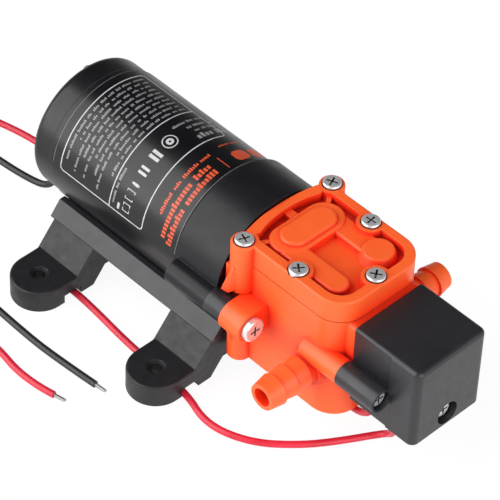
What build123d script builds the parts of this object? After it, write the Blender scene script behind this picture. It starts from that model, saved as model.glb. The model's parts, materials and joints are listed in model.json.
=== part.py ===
from build123d import *
import math
import os

# A twelve volt caravan water pump: a round motor on a rail with two rubber foot bars, a twin
# diaphragm pump head with a hose barb on each side, and a pressure switch box on the far end.
# X runs along the motor towards the switch box, Y across, Z up. The origin is on the floor,
# under the middle of the pump. All lengths are in millimetres.

os.makedirs("parts", exist_ok=True)

# Driving sizes of the whole pump
overall_length = 165.0
overall_width = 101.5
overall_height = 61.0
housing_radius = 25.6
axis_z = overall_height - housing_radius
rear_x = -overall_length / 2
front_x = overall_length / 2

# Clearances and small allowances
seat_gap = 0.05
press_gap = 0.01
running_gap = 0.05
curved_gap = 0.3
screw_clearance = 0.15
screw_seat_gap = 0.3
cut_over = 1.0
full_turn = 360
quarter_turn = 90

# Motor
can_radius = 23.9
can_wall = 1.8
can_bore = can_radius - can_wall
label_thickness = 0.4
label_rear_x = -71.2
label_front_x = -13.6
cap_length = 9.0
cap_wall = 2.2
cap_spigot_length = 2.0
cap_edge_radius = 3.0
cap_front_x = rear_x + cap_length
spigot_front_x = cap_front_x + cap_spigot_length
can_front_x = -9.0
shaft_radius = 2.5
shaft_rear_x = -79.5
shaft_front_x = 27.5
magnet_thickness = 4.2
magnet_rear_x = -60.0
magnet_front_x = -25.0
magnet_arc = 130
magnet_outer = can_bore - seat_gap
magnet_bore = magnet_outer - magnet_thickness
armature_radius = 17.0
armature_rear_x = -58.0
armature_front_x = -27.0
slot_count = 7
slot_width = 3.4
slot_depth = 7.5
slot_mouth = 1.2
coil_end_length = 5.5
coil_end_radius = 15.2
coil_hub_radius = 4.6
coil_edge_radius = 2.0
wire_fill_gap = 0.1
commutator_radius = 5.6
commutator_length = 6.0
commutator_gap = 0.4
commutator_cut = 1.2
commutator_front_x = armature_rear_x - coil_end_length - commutator_gap
commutator_rear_x = commutator_front_x - commutator_length
rear_bush_radius = 5.0
rear_bush_length = 5.5
rear_bush_wall = 2.5
brush_width = 4.0
brush_thickness = 3.0
brush_length = 6.0
brush_tube_wall = 0.6
brush_tube_length = 9.0
brush_tube_inset = 1.6
brush_plate_thickness = 1.8
brush_plate_bore = 7.0
brush_spring_radius = 1.15
brush_spring_wire = 0.22
brush_spring_turns = 4
bolt_radius = 1.5
bolt_offset = 19.9
bolt_head_radius = 2.7
bolt_head_height = 1.6
bolt_front_x = 0.0
lead_hole_y = 6.0
lead_hole_offset = 15.0
lead_hole_z = axis_z - lead_hole_offset
grommet_radius = 2.6
grommet_lip = 0.7
grommet_lip_length = 1.0
tab_size = 3.4
tab_thickness = 1.8

# Front housing of the motor, with the front bearing
housing_rear_x = -13.4
housing_front_x = 6.5
housing_chamfer = 1.1
socket_depth = can_front_x - housing_rear_x
winding_bore = 21.0
web_rear_x = -4.0
bearing_bore = 2.5
bearing_outer = 8.0
bearing_width = 5.0
bearing_shoulder = 0.6
bearing_shoulder_bore = 6.4
drive_bore = 13.4
bearing_x = web_rear_x + bearing_shoulder
front_ball_count = 7
tube_radius = 4.7
tube_offset = 26.2
tube_rear_x = -11.0
spacer_length = 7.5
spacer_bore = 2.15
lug_rear_x = housing_front_x + spacer_length
lug_thickness = 8.8
lug_front_x = lug_rear_x + lug_thickness
lug_radius = 5.2

# Base rail and foot bars
rail_rear_x = -70.5
rail_foot_drop = 19.3
rail_top_drop = 14.2
rail_foot_z = axis_z - rail_foot_drop
rail_top_z = axis_z - rail_top_drop
rail_foot_y = 26.2
rail_top_y = 22.1
rail_clearance = 0.2
rail_bore = can_radius + label_thickness + rail_clearance
rail_belly_step = 1.4
rail_belly_radius = housing_radius + rail_belly_step
rail_slot_y = 22.0
rail_slot_neck = 1.8
rail_slot_neck_height = 0.9
rail_slot_head = 3.2
rail_slot_head_height = 1.3
rail_rib_gap = 0.05
rail_housing_gap = 0.2
rail_screw_x = -1.2
rail_screw_angle = 20
rail_screw_sink = 0.15
rail_screw_seat = rail_belly_radius - rail_screw_sink
foot_width = 19.1
foot_pad_height = 8.2
foot_pad_radius = foot_width / 2
foot_pad_y = overall_width / 2 - foot_pad_radius
foot_slant_y = 33.0
foot_inner_y = 26.2
foot_arch_y = 21.1
foot_arch_z = 6.2
foot_hole_radius = 2.2
foot_sink_radius = 3.0
foot_sink_depth = 0.5
foot_edge_radius = 0.8
front_foot_x = -3.2
rear_foot_x = -59.1
lead_groove_y = 35.05
lead_groove_width = 7.1
lead_groove_height = 3.0

# Pump head
parting_offset = 16.4
cover_height = 8.2
head_side_y = 18.9
head_front_x = 53.2
head_corner_radius = 9.5
head_rear_bow = 8.9
head_rear_bow_y = 16.4
head_rear_mid_x = 6.7
collar_radius = 16.0
ear_radius = 4.2
screw_a_x = 11.5
screw_a_y = 18.9
screw_c_x = 31.7
screw_c_y = 15.6
screw_e_x = 49.2
cover_screw_places = [(screw_a_x, screw_a_y), (screw_a_x, -screw_a_y), (screw_c_x, screw_c_y),
                (screw_c_x, -screw_c_y), (screw_e_x, 0)]
screw_turns = [0.4, 1.2, 0.1, 0.9, 0.6]
rim_width = 3.4
moat_depth = 3.6
screw_boss_radius = 4.6
screw_sink_depth = 0.8
screw_sink_radius = 3.4
plate_inset = 2.6
cover_edge_radius = 0.7
plate_thickness = 3.2
plate_gap = 0.15
chamber_x = 21.5
chamber_radius = 10.4
chamber_depth = 2.0
bead_radius = 12.6
bead_height = 1.6
bead_inner = 10.9
web_thickness = 0.9
stroke_half = 1.2
web_mid_offset = 13.6
clamp_disc_radius = 7.2
clamp_disc_thickness = 1.2
valve_x = 20.2
valve_y = 5.0
valve_radius = 3.5
valve_thickness = 0.7
valve_stem_radius = 1.0
valve_stem_gap = 0.08
valve_lift = 0.5
valve_bulb_radius = 1.35
valve_bulb_height = 0.5
valve_port_radius = 0.85
valve_port_circle = 2.25
valve_port_count = 4
port_x = 42.0
port_y = 9.6
port_radius = 3.0
seal_radius = 4.0
seal_section = 0.7
seal_groove_gap = 0.05
dome_x = 19.8
dome_half_width = 6.6
dome_half_length = 14.0
dome_offset = 23.9
plateau_x = 20.2
plateau_half_width = 4.7
plateau_half_length = 10.6
plateau_offset = 25.2
dome_fillet = 1.0
near_channel_y = 9.8
near_channel_end_x = 42.3
near_channel_offset = 23.6
far_channel_offset = 23.1
channel_radius = 4.0
channel_bore = 2.5
channel_height = 2.6
far_dome_x = 41.3
far_dome_y = 9.4
far_dome_radius = 6.3
far_dome_top_radius = 4.9
far_dome_offset = 24.0
gallery_wall = 1.6
gallery_height = 3.2
tab_y = 1.0
tab_width = 3.0
tab_offset = 23.2
rib_width = 1.6
fin_thickness = 2.2
fin_rear_x = 7.0
fin_top_offset = 14.0
fin_low_offset = 6.0
drive_depth = 23.0
boss_gap_offset = 5.4

# Hose barbs
barb_drop = 6.6
barb_z = axis_z - barb_drop
barb_tip_y = 39.4
barb_root_radius = 4.8
barb_ridge_radius = 5.5
barb_tip_radius = 4.6
barb_bore = 3.2
barb_collar_radius = 6.4
barb_collar_length = 2.0
barb_ridge_count = 3
barb_ridge_pitch = 5.4

# Eccentric drive
eccentric_bearing_bore = 5.0
eccentric_bearing_outer = 9.5
eccentric_bearing_width = 5.0
ball_count = 9
ball_share = 0.36
hub_flange = 6.0
hub_flange_length = 1.4
counterweight_radius = 11.6
counterweight_length = 4.0
hub_core_length = 6.6
hub_core_radius = 5.5
grub_radius = 1.5
grub_length = 2.6
yoke_radius = 11.7
yoke_width = 7.0
yoke_post_radius = 5.6
yoke_post_start = 10.0
yoke_screw_radius = 1.75
yoke_screw_head = 3.1
yoke_screw_grip = 3.4

# Pressure switch box
box_rear_x = 55.6
box_half_width = 15.0
box_step = 0.4
box_step_x = 71.0
box_drop = 14.1
box_rise = 16.7
box_bottom_z = axis_z - box_drop
box_top_z = axis_z + box_rise
box_wall = 2.0
box_edge_radius = 1.8
box_corner_radius = 2.5
switch_block_rear_x = 50.0
block_half_width = 14.2
block_rise = 15.9
block_drop = 13.3
block_top_z = axis_z + block_rise
block_bottom_z = axis_z - block_drop
box_boss_y = 18.1
box_boss_radius = 4.3
box_boss_start_x = 39.8
box_boss_length = 15.9
box_screw_sink = 3.0
box_sink_radius = 3.4
low_screw_drop = 9.4
low_screw_z = axis_z - low_screw_drop
low_sink_radius = 4.2
low_sink_depth = 3.5
low_post_radius = 3.0
box_screw_seat_x = box_rear_x + box_boss_length - box_screw_sink
low_screw_seat_x = front_x - low_sink_depth
sense_radius = 9.0
sense_depth = 1.8
sense_hole_radius = 1.1
sense_hole_y = 7.6
switch_skin_thickness = 0.7
switch_bead_width = 1.6
sense_rise = 2.6
sense_z = axis_z + sense_rise
switch_plate_thickness = 3.0
carrier_half_width = 12.4
carrier_half_height = 8.6
carrier_arm_width = 2.0
plunger_radius = 3.0
plunger_pad_radius = 6.0
plunger_pad_thickness = 1.4
plunger_travel = 1.0
plunger_spring_radius = 4.6
plunger_spring_wire = 0.3
plunger_spring_turns = 3
bonnet_radius = 8.0
bonnet_wall = 1.6
bonnet_length = 9.0
micro_half_length = 9.9
micro_height = 10.2
micro_depth = 6.4
micro_x = 69.8
button_radius = 1.2
button_height = 1.25
button_depth = 2.2
button_gap = 0.05
button_x = micro_x - button_height
spade_width = 4.8
spade_thickness = 0.6
spade_length = 3.6
spade_offset = 5.0
box_exits = [(67.0, -8.2), (61.0, -8.2)]

# Screws
cover_screw_radius = 1.6
cover_screw_length = 17.0
pan_radius = 3.1
pan_height = 1.7
pan_round = 0.7
cross_arm = 1.9
cross_width = 0.65
cross_depth = 1.0
flange_screw_radius = 2.0
flange_screw_length = 26.0
flange_head_radius = 4.0
flange_head_height = 2.3
rail_screw_radius = 1.4
rail_screw_length = 8.0
rail_head_radius = 2.4
rail_head_height = 1.0
rail_cross_depth = 0.6
box_screw_radius = 1.5
box_screw_length = 22.0
box_head_radius = 2.9
box_head_height = 1.8
low_screw_length = 27.0

# Leads
lead_radius = 1.2
core_radius = 0.65
tip_length = 4.4
bend_share = 0.45


# Planes and small makers used by many pieces
def across(x, y=0, z=axis_z):
    # A plane square to the motor axis, with its own x along Y and its own y along Z
    return Plane(origin=(x, y, z), x_dir=(0, 1, 0), z_dir=(1, 0, 0))


def rail_screw_plane(side, radius):
    # A seat square to a line from the motor axis down through the rail
    lean = math.radians(rail_screw_angle)
    foot = (rail_screw_x, side * radius * math.sin(lean), axis_z - radius * math.cos(lean))
    return Plane(origin=foot, x_dir=(1, 0, 0),
                 z_dir=(0, side * math.sin(lean), -math.cos(lean)))


middle_plane = Plane.XY.offset(axis_z)
upper_parting_z = axis_z + parting_offset
cover_top_z = upper_parting_z + cover_height


def pan_screw(seat, shank, length, head, height, edge):
    # A cross recessed pan head screw; the seat plane's normal points out of the head
    with BuildPart() as screw:
        with BuildSketch(seat):
            Circle(head)
        extrude(amount=height)
        top = screw.faces().sort_by(Axis(seat.origin, seat.z_dir))[-1]
        fillet(top.edges(), radius=edge)
        with BuildSketch(seat):
            Circle(shank)
        extrude(amount=-length)
        with BuildSketch(seat.offset(height)):
            Rectangle(2 * cross_arm, cross_width)
            Rectangle(cross_width, 2 * cross_arm)
        extrude(amount=-cross_depth, mode=Mode.SUBTRACT)
    return screw.part


def ball_ring(x, centre_z, pitch, radius, count):
    # The rolling balls of a bearing, each a solid of its own
    with BuildPart() as balls:
        for number in range(count):
            turn = math.radians(full_turn * (number + 0.5) / count)
            place = (x, pitch * math.cos(turn), centre_z + pitch * math.sin(turn))
            with Locations(place):
                Sphere(radius)
    return balls.part


def race(x, centre_z, outer, inner, width, pitch, ball):
    # One ring of a ball bearing, with its ball groove
    with BuildPart() as ring:
        with BuildSketch(across(x - width / 2, 0, centre_z)):
            Circle(outer)
            Circle(inner, mode=Mode.SUBTRACT)
        extrude(amount=width)
        with BuildSketch(Plane(origin=(x, 0, centre_z), x_dir=(1, 0, 0), z_dir=(0, -1, 0))):
            with Locations((0, pitch)):
                Circle(ball + running_gap)
        revolve(axis=Axis((x, 0, centre_z), (1, 0, 0)), revolution_arc=full_turn,
                mode=Mode.SUBTRACT)
    return ring.part


# Motor can, its label sleeve and the rear end cap
with BuildPart() as motor_can:
    with BuildSketch(across(cap_front_x)):
        Circle(can_radius)
        Circle(can_bore, mode=Mode.SUBTRACT)
    extrude(amount=can_front_x - cap_front_x)

with BuildPart() as label_sleeve:
    with BuildSketch(across(label_rear_x)):
        Circle(can_radius + label_thickness)
        Circle(can_radius, mode=Mode.SUBTRACT)
    extrude(amount=label_front_x - label_rear_x)

with BuildPart() as rear_end_cap:
    with BuildSketch(across(rear_x)):
        Circle(can_radius)
    extrude(amount=cap_length)
    fillet(rear_end_cap.faces().sort_by(Axis.X)[0].edges(), radius=cap_edge_radius)
    with BuildSketch(across(cap_front_x)):
        Circle(can_bore - seat_gap)
    extrude(amount=cap_spigot_length)
    with BuildSketch(across(rear_x + cap_wall)):
        Circle(can_bore - cap_wall)
    extrude(amount=cap_length + cap_spigot_length, mode=Mode.SUBTRACT)
    with BuildSketch(across(rear_x + cap_wall)):
        Circle(rear_bush_radius + rear_bush_wall)
    extrude(amount=rear_bush_length)
    with BuildSketch(across(rear_x + cap_wall)):
        Circle(rear_bush_radius)
    extrude(amount=rear_bush_length + cut_over, mode=Mode.SUBTRACT)
    # Seats for the two long bolts, joined to the wall
    with BuildSketch(across(rear_x + cap_wall)):
        with Locations((0, bolt_offset), (0, -bolt_offset)):
            Circle(bolt_head_radius)
        Circle(can_bore - cap_wall, mode=Mode.INTERSECT)
    extrude(amount=cap_length - cap_wall)
    with BuildSketch(across(rear_x)):
        with Locations((0, bolt_offset), (0, -bolt_offset)):
            Circle(bolt_radius + seat_gap)
        with Locations((lead_hole_y, -lead_hole_offset), (-lead_hole_y, -lead_hole_offset)):
            Circle(grommet_radius)
    extrude(amount=cap_length + cap_spigot_length, mode=Mode.SUBTRACT)
    with BuildSketch(across(rear_x)):
        with Locations((0, bolt_offset), (0, -bolt_offset)):
            Circle(bolt_head_radius + seat_gap)
    extrude(amount=bolt_head_height, mode=Mode.SUBTRACT)

with BuildPart() as rear_bearing_bush:
    with BuildSketch(across(rear_x + cap_wall)):
        Circle(rear_bush_radius - press_gap)
        Circle(shaft_radius + running_gap, mode=Mode.SUBTRACT)
    extrude(amount=rear_bush_length)

# Two arc magnets bonded inside the can
with BuildPart() as magnets:
    with BuildSketch(across(magnet_rear_x)):
        Circle(magnet_outer)
        Circle(magnet_bore, mode=Mode.SUBTRACT)
        Rectangle(2 * magnet_outer * math.cos(math.radians(magnet_arc / 2)),
                  2 * can_radius, mode=Mode.SUBTRACT)
    extrude(amount=magnet_front_x - magnet_rear_x)

# Shaft, armature, windings and commutator
with BuildPart() as motor_shaft:
    with BuildSketch(across(shaft_rear_x)):
        Circle(shaft_radius)
    extrude(amount=shaft_front_x - shaft_rear_x)

with BuildPart() as armature_core:
    with BuildSketch(across(armature_rear_x)):
        Circle(armature_radius)
        Circle(shaft_radius + press_gap, mode=Mode.SUBTRACT)
        with PolarLocations(armature_radius - slot_depth, slot_count):
            with Locations((slot_depth / 2 - slot_mouth / 2, 0)):
                Rectangle(slot_depth - slot_mouth, slot_width, mode=Mode.SUBTRACT)
            with Locations((slot_depth, 0)):
                Rectangle(2 * slot_mouth + cut_over, slot_mouth, mode=Mode.SUBTRACT)
    extrude(amount=armature_front_x - armature_rear_x)

with BuildPart() as armature_windings:
    for start_x, way in ((armature_rear_x, -1), (armature_front_x, 1)):
        with BuildSketch(across(start_x)):
            Circle(coil_end_radius)
            Circle(coil_hub_radius, mode=Mode.SUBTRACT)
        extrude(amount=way * coil_end_length)
    fillet(armature_windings.edges().filter_by(GeomType.CIRCLE).group_by(Axis.X)[0],
           radius=coil_edge_radius)
    fillet(armature_windings.edges().filter_by(GeomType.CIRCLE).group_by(Axis.X)[-1],
           radius=coil_edge_radius)
    with BuildSketch(across(armature_rear_x)):
        with PolarLocations(armature_radius - slot_depth, slot_count):
            with Locations((slot_depth / 2 - slot_mouth / 2, 0)):
                Rectangle(slot_depth - slot_mouth - 2 * wire_fill_gap,
                          slot_width - 2 * wire_fill_gap)
    extrude(amount=armature_front_x - armature_rear_x)

with BuildPart() as commutator:
    with BuildSketch(across(commutator_rear_x)):
        Circle(commutator_radius)
        Circle(shaft_radius + press_gap, mode=Mode.SUBTRACT)
        with PolarLocations(commutator_radius, slot_count):
            Rectangle(commutator_cut, commutator_gap, mode=Mode.SUBTRACT)
    extrude(amount=commutator_length)

# Brush gear, carried by an insulating plate on the spigot of the cap
brush_x = (commutator_rear_x + commutator_front_x) / 2
brush_plate_x = spigot_front_x
brush_inner_y = commutator_radius + running_gap
brush_tube_y = brush_inner_y + brush_tube_inset
tube_depth = brush_thickness + 2 * brush_tube_wall
with BuildPart() as brush_plate:
    with BuildSketch(across(brush_plate_x)):
        Circle(can_bore - seat_gap)
        Circle(brush_plate_bore, mode=Mode.SUBTRACT)
        with Locations((0, bolt_offset), (0, -bolt_offset)):
            Circle(bolt_radius + seat_gap, mode=Mode.SUBTRACT)
    extrude(amount=brush_plate_thickness)

with BuildPart() as brush_tubes:
    for side in (1, -1):
        with BuildSketch(Plane(origin=(brush_x, side * brush_tube_y, axis_z), x_dir=(1, 0, 0),
                               z_dir=(0, side, 0))):
            Rectangle(tube_depth, brush_width + 2 * brush_tube_wall)
        extrude(amount=brush_tube_length)
        with BuildSketch(Plane(origin=(brush_x, side * brush_tube_y, axis_z), x_dir=(1, 0, 0),
                               z_dir=(0, side, 0))):
            Rectangle(brush_thickness, brush_width)
        extrude(amount=brush_tube_length - brush_tube_wall, mode=Mode.SUBTRACT)
    # A foot on each tube, seated on the brush plate
    foot_start = brush_plate_x + brush_plate_thickness
    for side in (1, -1):
        with BuildSketch(across(foot_start, side * (brush_tube_y + brush_tube_length / 2))):
            Rectangle(brush_tube_length, brush_width)
        extrude(amount=brush_x - tube_depth / 2 - foot_start)

with BuildPart() as brushes:
    for side in (1, -1):
        with BuildSketch(Plane(origin=(brush_x, side * brush_inner_y, axis_z), x_dir=(1, 0, 0),
                               z_dir=(0, side, 0))):
            Rectangle(brush_thickness - 2 * seat_gap, brush_width - 2 * seat_gap)
        extrude(amount=brush_length)


def coil_spring(axis_start, way, radius, wire, pitch, turns):
    # An open wound spring as one tube swept along a helix
    with BuildPart() as coil:
        with BuildLine():
            path = Helix(pitch=pitch, height=pitch * turns, radius=radius, center=axis_start,
                         direction=way)
        with BuildSketch(Plane(origin=path @ 0, z_dir=path % 0)):
            Circle(wire)
        sweep()
    return coil.part


brush_spring_start = brush_inner_y + brush_length + brush_spring_wire + seat_gap
brush_spring_end = (brush_tube_y + brush_tube_length - brush_tube_wall - brush_spring_wire
                    - seat_gap)
brush_spring_pitch = (brush_spring_end - brush_spring_start) / brush_spring_turns
with BuildPart() as brush_springs:
    for side in (1, -1):
        add(coil_spring((brush_x, side * brush_spring_start, axis_z), (0, side, 0),
                        brush_spring_radius, brush_spring_wire, brush_spring_pitch,
                        brush_spring_turns))

# Two long bolts that hold the cap, the can and the front housing together
with BuildPart() as through_bolts:
    for side in (1, -1):
        with BuildSketch(across(rear_x, 0, axis_z + side * bolt_offset)):
            Circle(bolt_head_radius)
            Rectangle(2 * cross_arm, cross_width, mode=Mode.SUBTRACT)
        extrude(amount=bolt_head_height)
        with BuildSketch(across(rear_x + bolt_head_height / 2, 0, axis_z + side * bolt_offset)):
            Circle(bolt_radius)
        extrude(amount=bolt_front_x - rear_x - bolt_head_height / 2)

# Front housing, with the bearing seat and the two screw tubes
with BuildPart() as front_housing:
    with BuildSketch(across(housing_rear_x)):
        Circle(housing_radius)
    extrude(amount=housing_front_x - housing_rear_x)
    chamfer(front_housing.faces().sort_by(Axis.X)[0].edges(), length=housing_chamfer)
    with BuildSketch(across(tube_rear_x)):
        with Locations((tube_offset, 0), (-tube_offset, 0)):
            Circle(tube_radius)
    extrude(amount=housing_front_x - tube_rear_x)
    with BuildSketch(across(housing_rear_x)):
        Circle(can_radius + seat_gap)
    extrude(amount=socket_depth, mode=Mode.SUBTRACT)
    with BuildSketch(across(can_front_x)):
        Circle(winding_bore)
    extrude(amount=web_rear_x - can_front_x, mode=Mode.SUBTRACT)
    with BuildSketch(across(bearing_x)):
        Circle(bearing_outer)
    extrude(amount=bearing_width + cut_over, mode=Mode.SUBTRACT)
    with BuildSketch(across(web_rear_x)):
        Circle(bearing_shoulder_bore)
    extrude(amount=bearing_shoulder, mode=Mode.SUBTRACT)
    with BuildSketch(across(bearing_x + bearing_width)):
        Circle(drive_bore)
    extrude(amount=housing_front_x - bearing_x, mode=Mode.SUBTRACT)
    # Blind holes for the long bolts, the flange screws and the rail screws
    with BuildSketch(across(can_front_x)):
        with Locations((0, bolt_offset), (0, -bolt_offset)):
            Circle(bolt_radius + press_gap)
    extrude(amount=bolt_front_x - can_front_x + press_gap, mode=Mode.SUBTRACT)
    flange_hole_start = lug_front_x - flange_screw_length - screw_seat_gap
    with BuildSketch(across(flange_hole_start)):
        with Locations((tube_offset, 0), (-tube_offset, 0)):
            Circle(flange_screw_radius)
    extrude(amount=housing_front_x - flange_hole_start, mode=Mode.SUBTRACT)
    for side in (1, -1):
        with Locations(rail_screw_plane(side, rail_screw_seat)):
            Cylinder(rail_screw_radius, rail_screw_length + screw_seat_gap,
                     align=(Align.CENTER, Align.CENTER, Align.MAX), mode=Mode.SUBTRACT)

# Base rail: a cradle under the motor with slanted sides and two slots for the foot bars
with BuildPart() as base_rail:
    with BuildSketch(across(rail_rear_x, 0, 0)):
        with Locations((0, axis_z)):
            Circle(rail_belly_radius)
        with Locations((0, rail_foot_z + rail_belly_radius)):
            Rectangle(4 * rail_belly_radius, 2 * rail_belly_radius, mode=Mode.SUBTRACT)
        with BuildLine():
            Polyline((-rail_foot_y, rail_foot_z), (rail_foot_y, rail_foot_z),
                     (rail_top_y, rail_top_z), (-rail_top_y, rail_top_z), close=True)
        make_face()
        with Locations((0, axis_z)):
            Circle(rail_bore, mode=Mode.SUBTRACT)
        for side in (1, -1):
            with Locations((side * rail_slot_y, rail_foot_z + rail_slot_neck_height / 2)):
                Rectangle(rail_slot_neck, rail_slot_neck_height, mode=Mode.SUBTRACT)
            with Locations((side * rail_slot_y, rail_foot_z + rail_slot_neck_height
                            + rail_slot_head_height / 2)):
                Rectangle(rail_slot_head, rail_slot_head_height, mode=Mode.SUBTRACT)
    extrude(amount=housing_front_x - rail_rear_x)
    with BuildSketch(across(housing_rear_x - rail_housing_gap)):
        Circle(housing_radius + seat_gap)
    extrude(amount=housing_front_x - housing_rear_x + rail_housing_gap, mode=Mode.SUBTRACT)
    for side in (1, -1):
        with Locations(rail_screw_plane(side, rail_screw_seat)):
            Cone(rail_screw_radius + seat_gap, rail_head_radius + seat_gap, rail_head_height,
                 align=(Align.CENTER, Align.CENTER, Align.MAX), mode=Mode.SUBTRACT)
            Cylinder(rail_screw_radius + seat_gap, rail_screw_length,
                     align=(Align.CENTER, Align.CENTER, Align.MAX), mode=Mode.SUBTRACT)
        with Locations(rail_screw_plane(side, rail_screw_seat)):
            Cylinder(rail_head_radius + seat_gap, rail_head_radius,
                     align=(Align.CENTER, Align.CENTER, Align.MIN), mode=Mode.SUBTRACT)

with BuildPart() as rail_screws:
    for side in (1, -1):
        with Locations(rail_screw_plane(side, rail_screw_seat)):
            Cone(rail_screw_radius - seat_gap, rail_head_radius, rail_head_height,
                 align=(Align.CENTER, Align.CENTER, Align.MAX))
            Cylinder(rail_screw_radius - seat_gap, rail_screw_length,
                     align=(Align.CENTER, Align.CENTER, Align.MAX))
            Box(2 * cross_arm, cross_width, rail_cross_depth,
                align=(Align.CENTER, Align.CENTER, Align.MAX), mode=Mode.SUBTRACT)
            Box(cross_width, 2 * cross_arm, rail_cross_depth,
                align=(Align.CENTER, Align.CENTER, Align.MAX), mode=Mode.SUBTRACT)


# Foot bars: one rubber moulding each, with a pad at both ends and a saddle for the rail
saddle_radius = rail_belly_radius + seat_gap
saddle_y = math.sqrt(saddle_radius ** 2 - (axis_z - rail_foot_z) ** 2)
foot_end_y = overall_width / 2


def foot_bar(centre_x):
    start = across(centre_x - foot_width / 2, 0, 0)
    with BuildPart() as bar:
        with BuildSketch(start):
            with BuildLine():
                Polyline((saddle_y, rail_foot_z), (foot_inner_y, rail_foot_z),
                         (foot_slant_y, foot_pad_height), (foot_end_y, foot_pad_height),
                         (foot_end_y, 0), (foot_inner_y, 0), (foot_arch_y, foot_arch_z),
                         (-foot_arch_y, foot_arch_z), (-foot_inner_y, 0), (-foot_end_y, 0),
                         (-foot_end_y, foot_pad_height), (-foot_slant_y, foot_pad_height),
                         (-foot_inner_y, rail_foot_z), (-saddle_y, rail_foot_z))
                ThreePointArc((-saddle_y, rail_foot_z), (0, axis_z - saddle_radius),
                              (saddle_y, rail_foot_z))
            make_face()
            with Locations((lead_groove_y, 0), (-lead_groove_y, 0)):
                Rectangle(lead_groove_width, 2 * lead_groove_height, mode=Mode.SUBTRACT)
        extrude(amount=foot_width)
        with BuildSketch(start):
            for side in (1, -1):
                with Locations((side * rail_slot_y, rail_foot_z)):
                    Rectangle(rail_slot_neck - 2 * rail_rib_gap,
                              2 * (rail_slot_neck_height + 2 * rail_rib_gap))
                with Locations((side * rail_slot_y, rail_foot_z + rail_slot_neck_height
                                + rail_slot_head_height / 2)):
                    Rectangle(rail_slot_head - 2 * rail_rib_gap,
                              rail_slot_head_height - 2 * rail_rib_gap)
        extrude(amount=foot_width)
        with BuildSketch(Plane.XY):
            with Locations((centre_x, 0)):
                SlotOverall(overall_width, foot_width, rotation=quarter_turn)
        extrude(amount=rail_top_z, mode=Mode.INTERSECT)
        rims = bar.edges().filter_by(GeomType.CIRCLE).filter_by(Axis.Z, reverse=True)
        rims = [edge for edge in rims if abs(edge.radius - foot_pad_radius) < seat_gap]
        rims = [edge for edge in rims if edge.center().Z > foot_pad_height / 2]
        fillet(rims, radius=foot_edge_radius)
        with BuildSketch(Plane.XY):
            with Locations((centre_x, foot_pad_y), (centre_x, -foot_pad_y)):
                Circle(foot_hole_radius)
        extrude(amount=foot_pad_height, mode=Mode.SUBTRACT)
        with BuildSketch(Plane.XY.offset(foot_pad_height)):
            with Locations((centre_x, foot_pad_y), (centre_x, -foot_pad_y)):
                Circle(foot_sink_radius)
        extrude(amount=-foot_sink_depth, mode=Mode.SUBTRACT)
    return bar.part


front_bar = foot_bar(front_foot_x)
rear_bar = foot_bar(rear_foot_x)
with BuildPart() as front_foot_bar:
    add(front_bar)
with BuildPart() as rear_foot_bar:
    add(rear_bar)


# Pump head: one plan for the body, the covers and, drawn in, for the plates inside them
def head_outline(inset):
    side_y = head_side_y - inset
    front = head_front_x - inset
    corner = head_corner_radius - inset
    rear = (head_rear_bow + inset, head_rear_bow_y - inset)
    reach = corner * math.cos(math.radians(quarter_turn / 2))
    with BuildSketch() as plan:
        with BuildLine():
            for side in (1, -1):
                Polyline((rear[0], side * rear[1]), (screw_a_x, side * side_y),
                         (front - corner, side * side_y))
                ThreePointArc((front - corner, side * side_y),
                              (front - corner + reach, side * (side_y - corner + reach)),
                              (front, side * (side_y - corner)))
            Line((front, side_y - corner), (front, corner - side_y))
            ThreePointArc((rear[0], rear[1]), (head_rear_mid_x + inset, 0),
                          (rear[0], -rear[1]))
        make_face()
    return plan.sketch


head_plan = head_outline(0)
moat_plan = head_outline(rim_width)
pocket_plan = head_outline(plate_inset)
plate_plan = head_outline(plate_inset + plate_gap)
lower_parting_z = axis_z - parting_offset
moat_floor_z = cover_top_z - moat_depth
plate_top_z = upper_parting_z + plate_thickness
screw_seat_z = cover_top_z - screw_sink_depth
ears = [(screw_a_x, screw_a_y), (screw_a_x, -screw_a_y)]
ports = [(port_x, port_y), (port_x, -port_y)]


def hump(start, end, radius, low, high, edge):
    # A raised channel between two places on a cover, round at both ends
    turn = math.degrees(math.atan2(end[1] - start[1], end[0] - start[0]))
    with BuildPart() as form:
        with BuildSketch(Plane.XY.offset(low)):
            with Locations(((start[0] + end[0]) / 2, (start[1] + end[1]) / 2)):
                SlotCenterToCenter(math.dist(start, end), 2 * radius, rotation=turn)
        extrude(amount=high - low)
        if edge > 0:
            fillet(form.faces().sort_by(Axis.Z)[-1].edges(), radius=edge)
    return form.part


near_end = (near_channel_end_x, -near_channel_y)
far_end = (far_dome_x, far_dome_y)
dome_ends = dome_half_length - dome_half_width
plateau_ends = plateau_half_length - plateau_half_width
dome = hump((dome_x, -dome_ends), (dome_x, dome_ends), dome_half_width, moat_floor_z,
            axis_z + dome_offset, dome_fillet)
plateau = hump((plateau_x, -plateau_ends), (plateau_x, plateau_ends), plateau_half_width,
               moat_floor_z, axis_z + plateau_offset, dome_fillet)
near_channel = hump((dome_x, -near_channel_y), near_end, channel_radius, moat_floor_z,
                    axis_z + near_channel_offset, dome_fillet)
far_channel = hump((dome_x, far_dome_y), far_end, channel_radius, moat_floor_z,
                   axis_z + far_channel_offset, dome_fillet)
near_hollow = hump((dome_x, -near_channel_y), near_end, channel_bore, plate_top_z,
                   plate_top_z + channel_height, 0)
far_hollow = hump((dome_x, far_dome_y), far_end, channel_bore, plate_top_z,
                  plate_top_z + channel_height, 0)
with BuildPart() as far_dome:
    with Locations((far_dome_x, far_dome_y, moat_floor_z)):
        Cone(far_dome_radius, far_dome_top_radius, axis_z + far_dome_offset - moat_floor_z,
             align=(Align.CENTER, Align.CENTER, Align.MIN))
    fillet(far_dome.faces().sort_by(Axis.Z)[-1].edges(), radius=cover_edge_radius)

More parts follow.
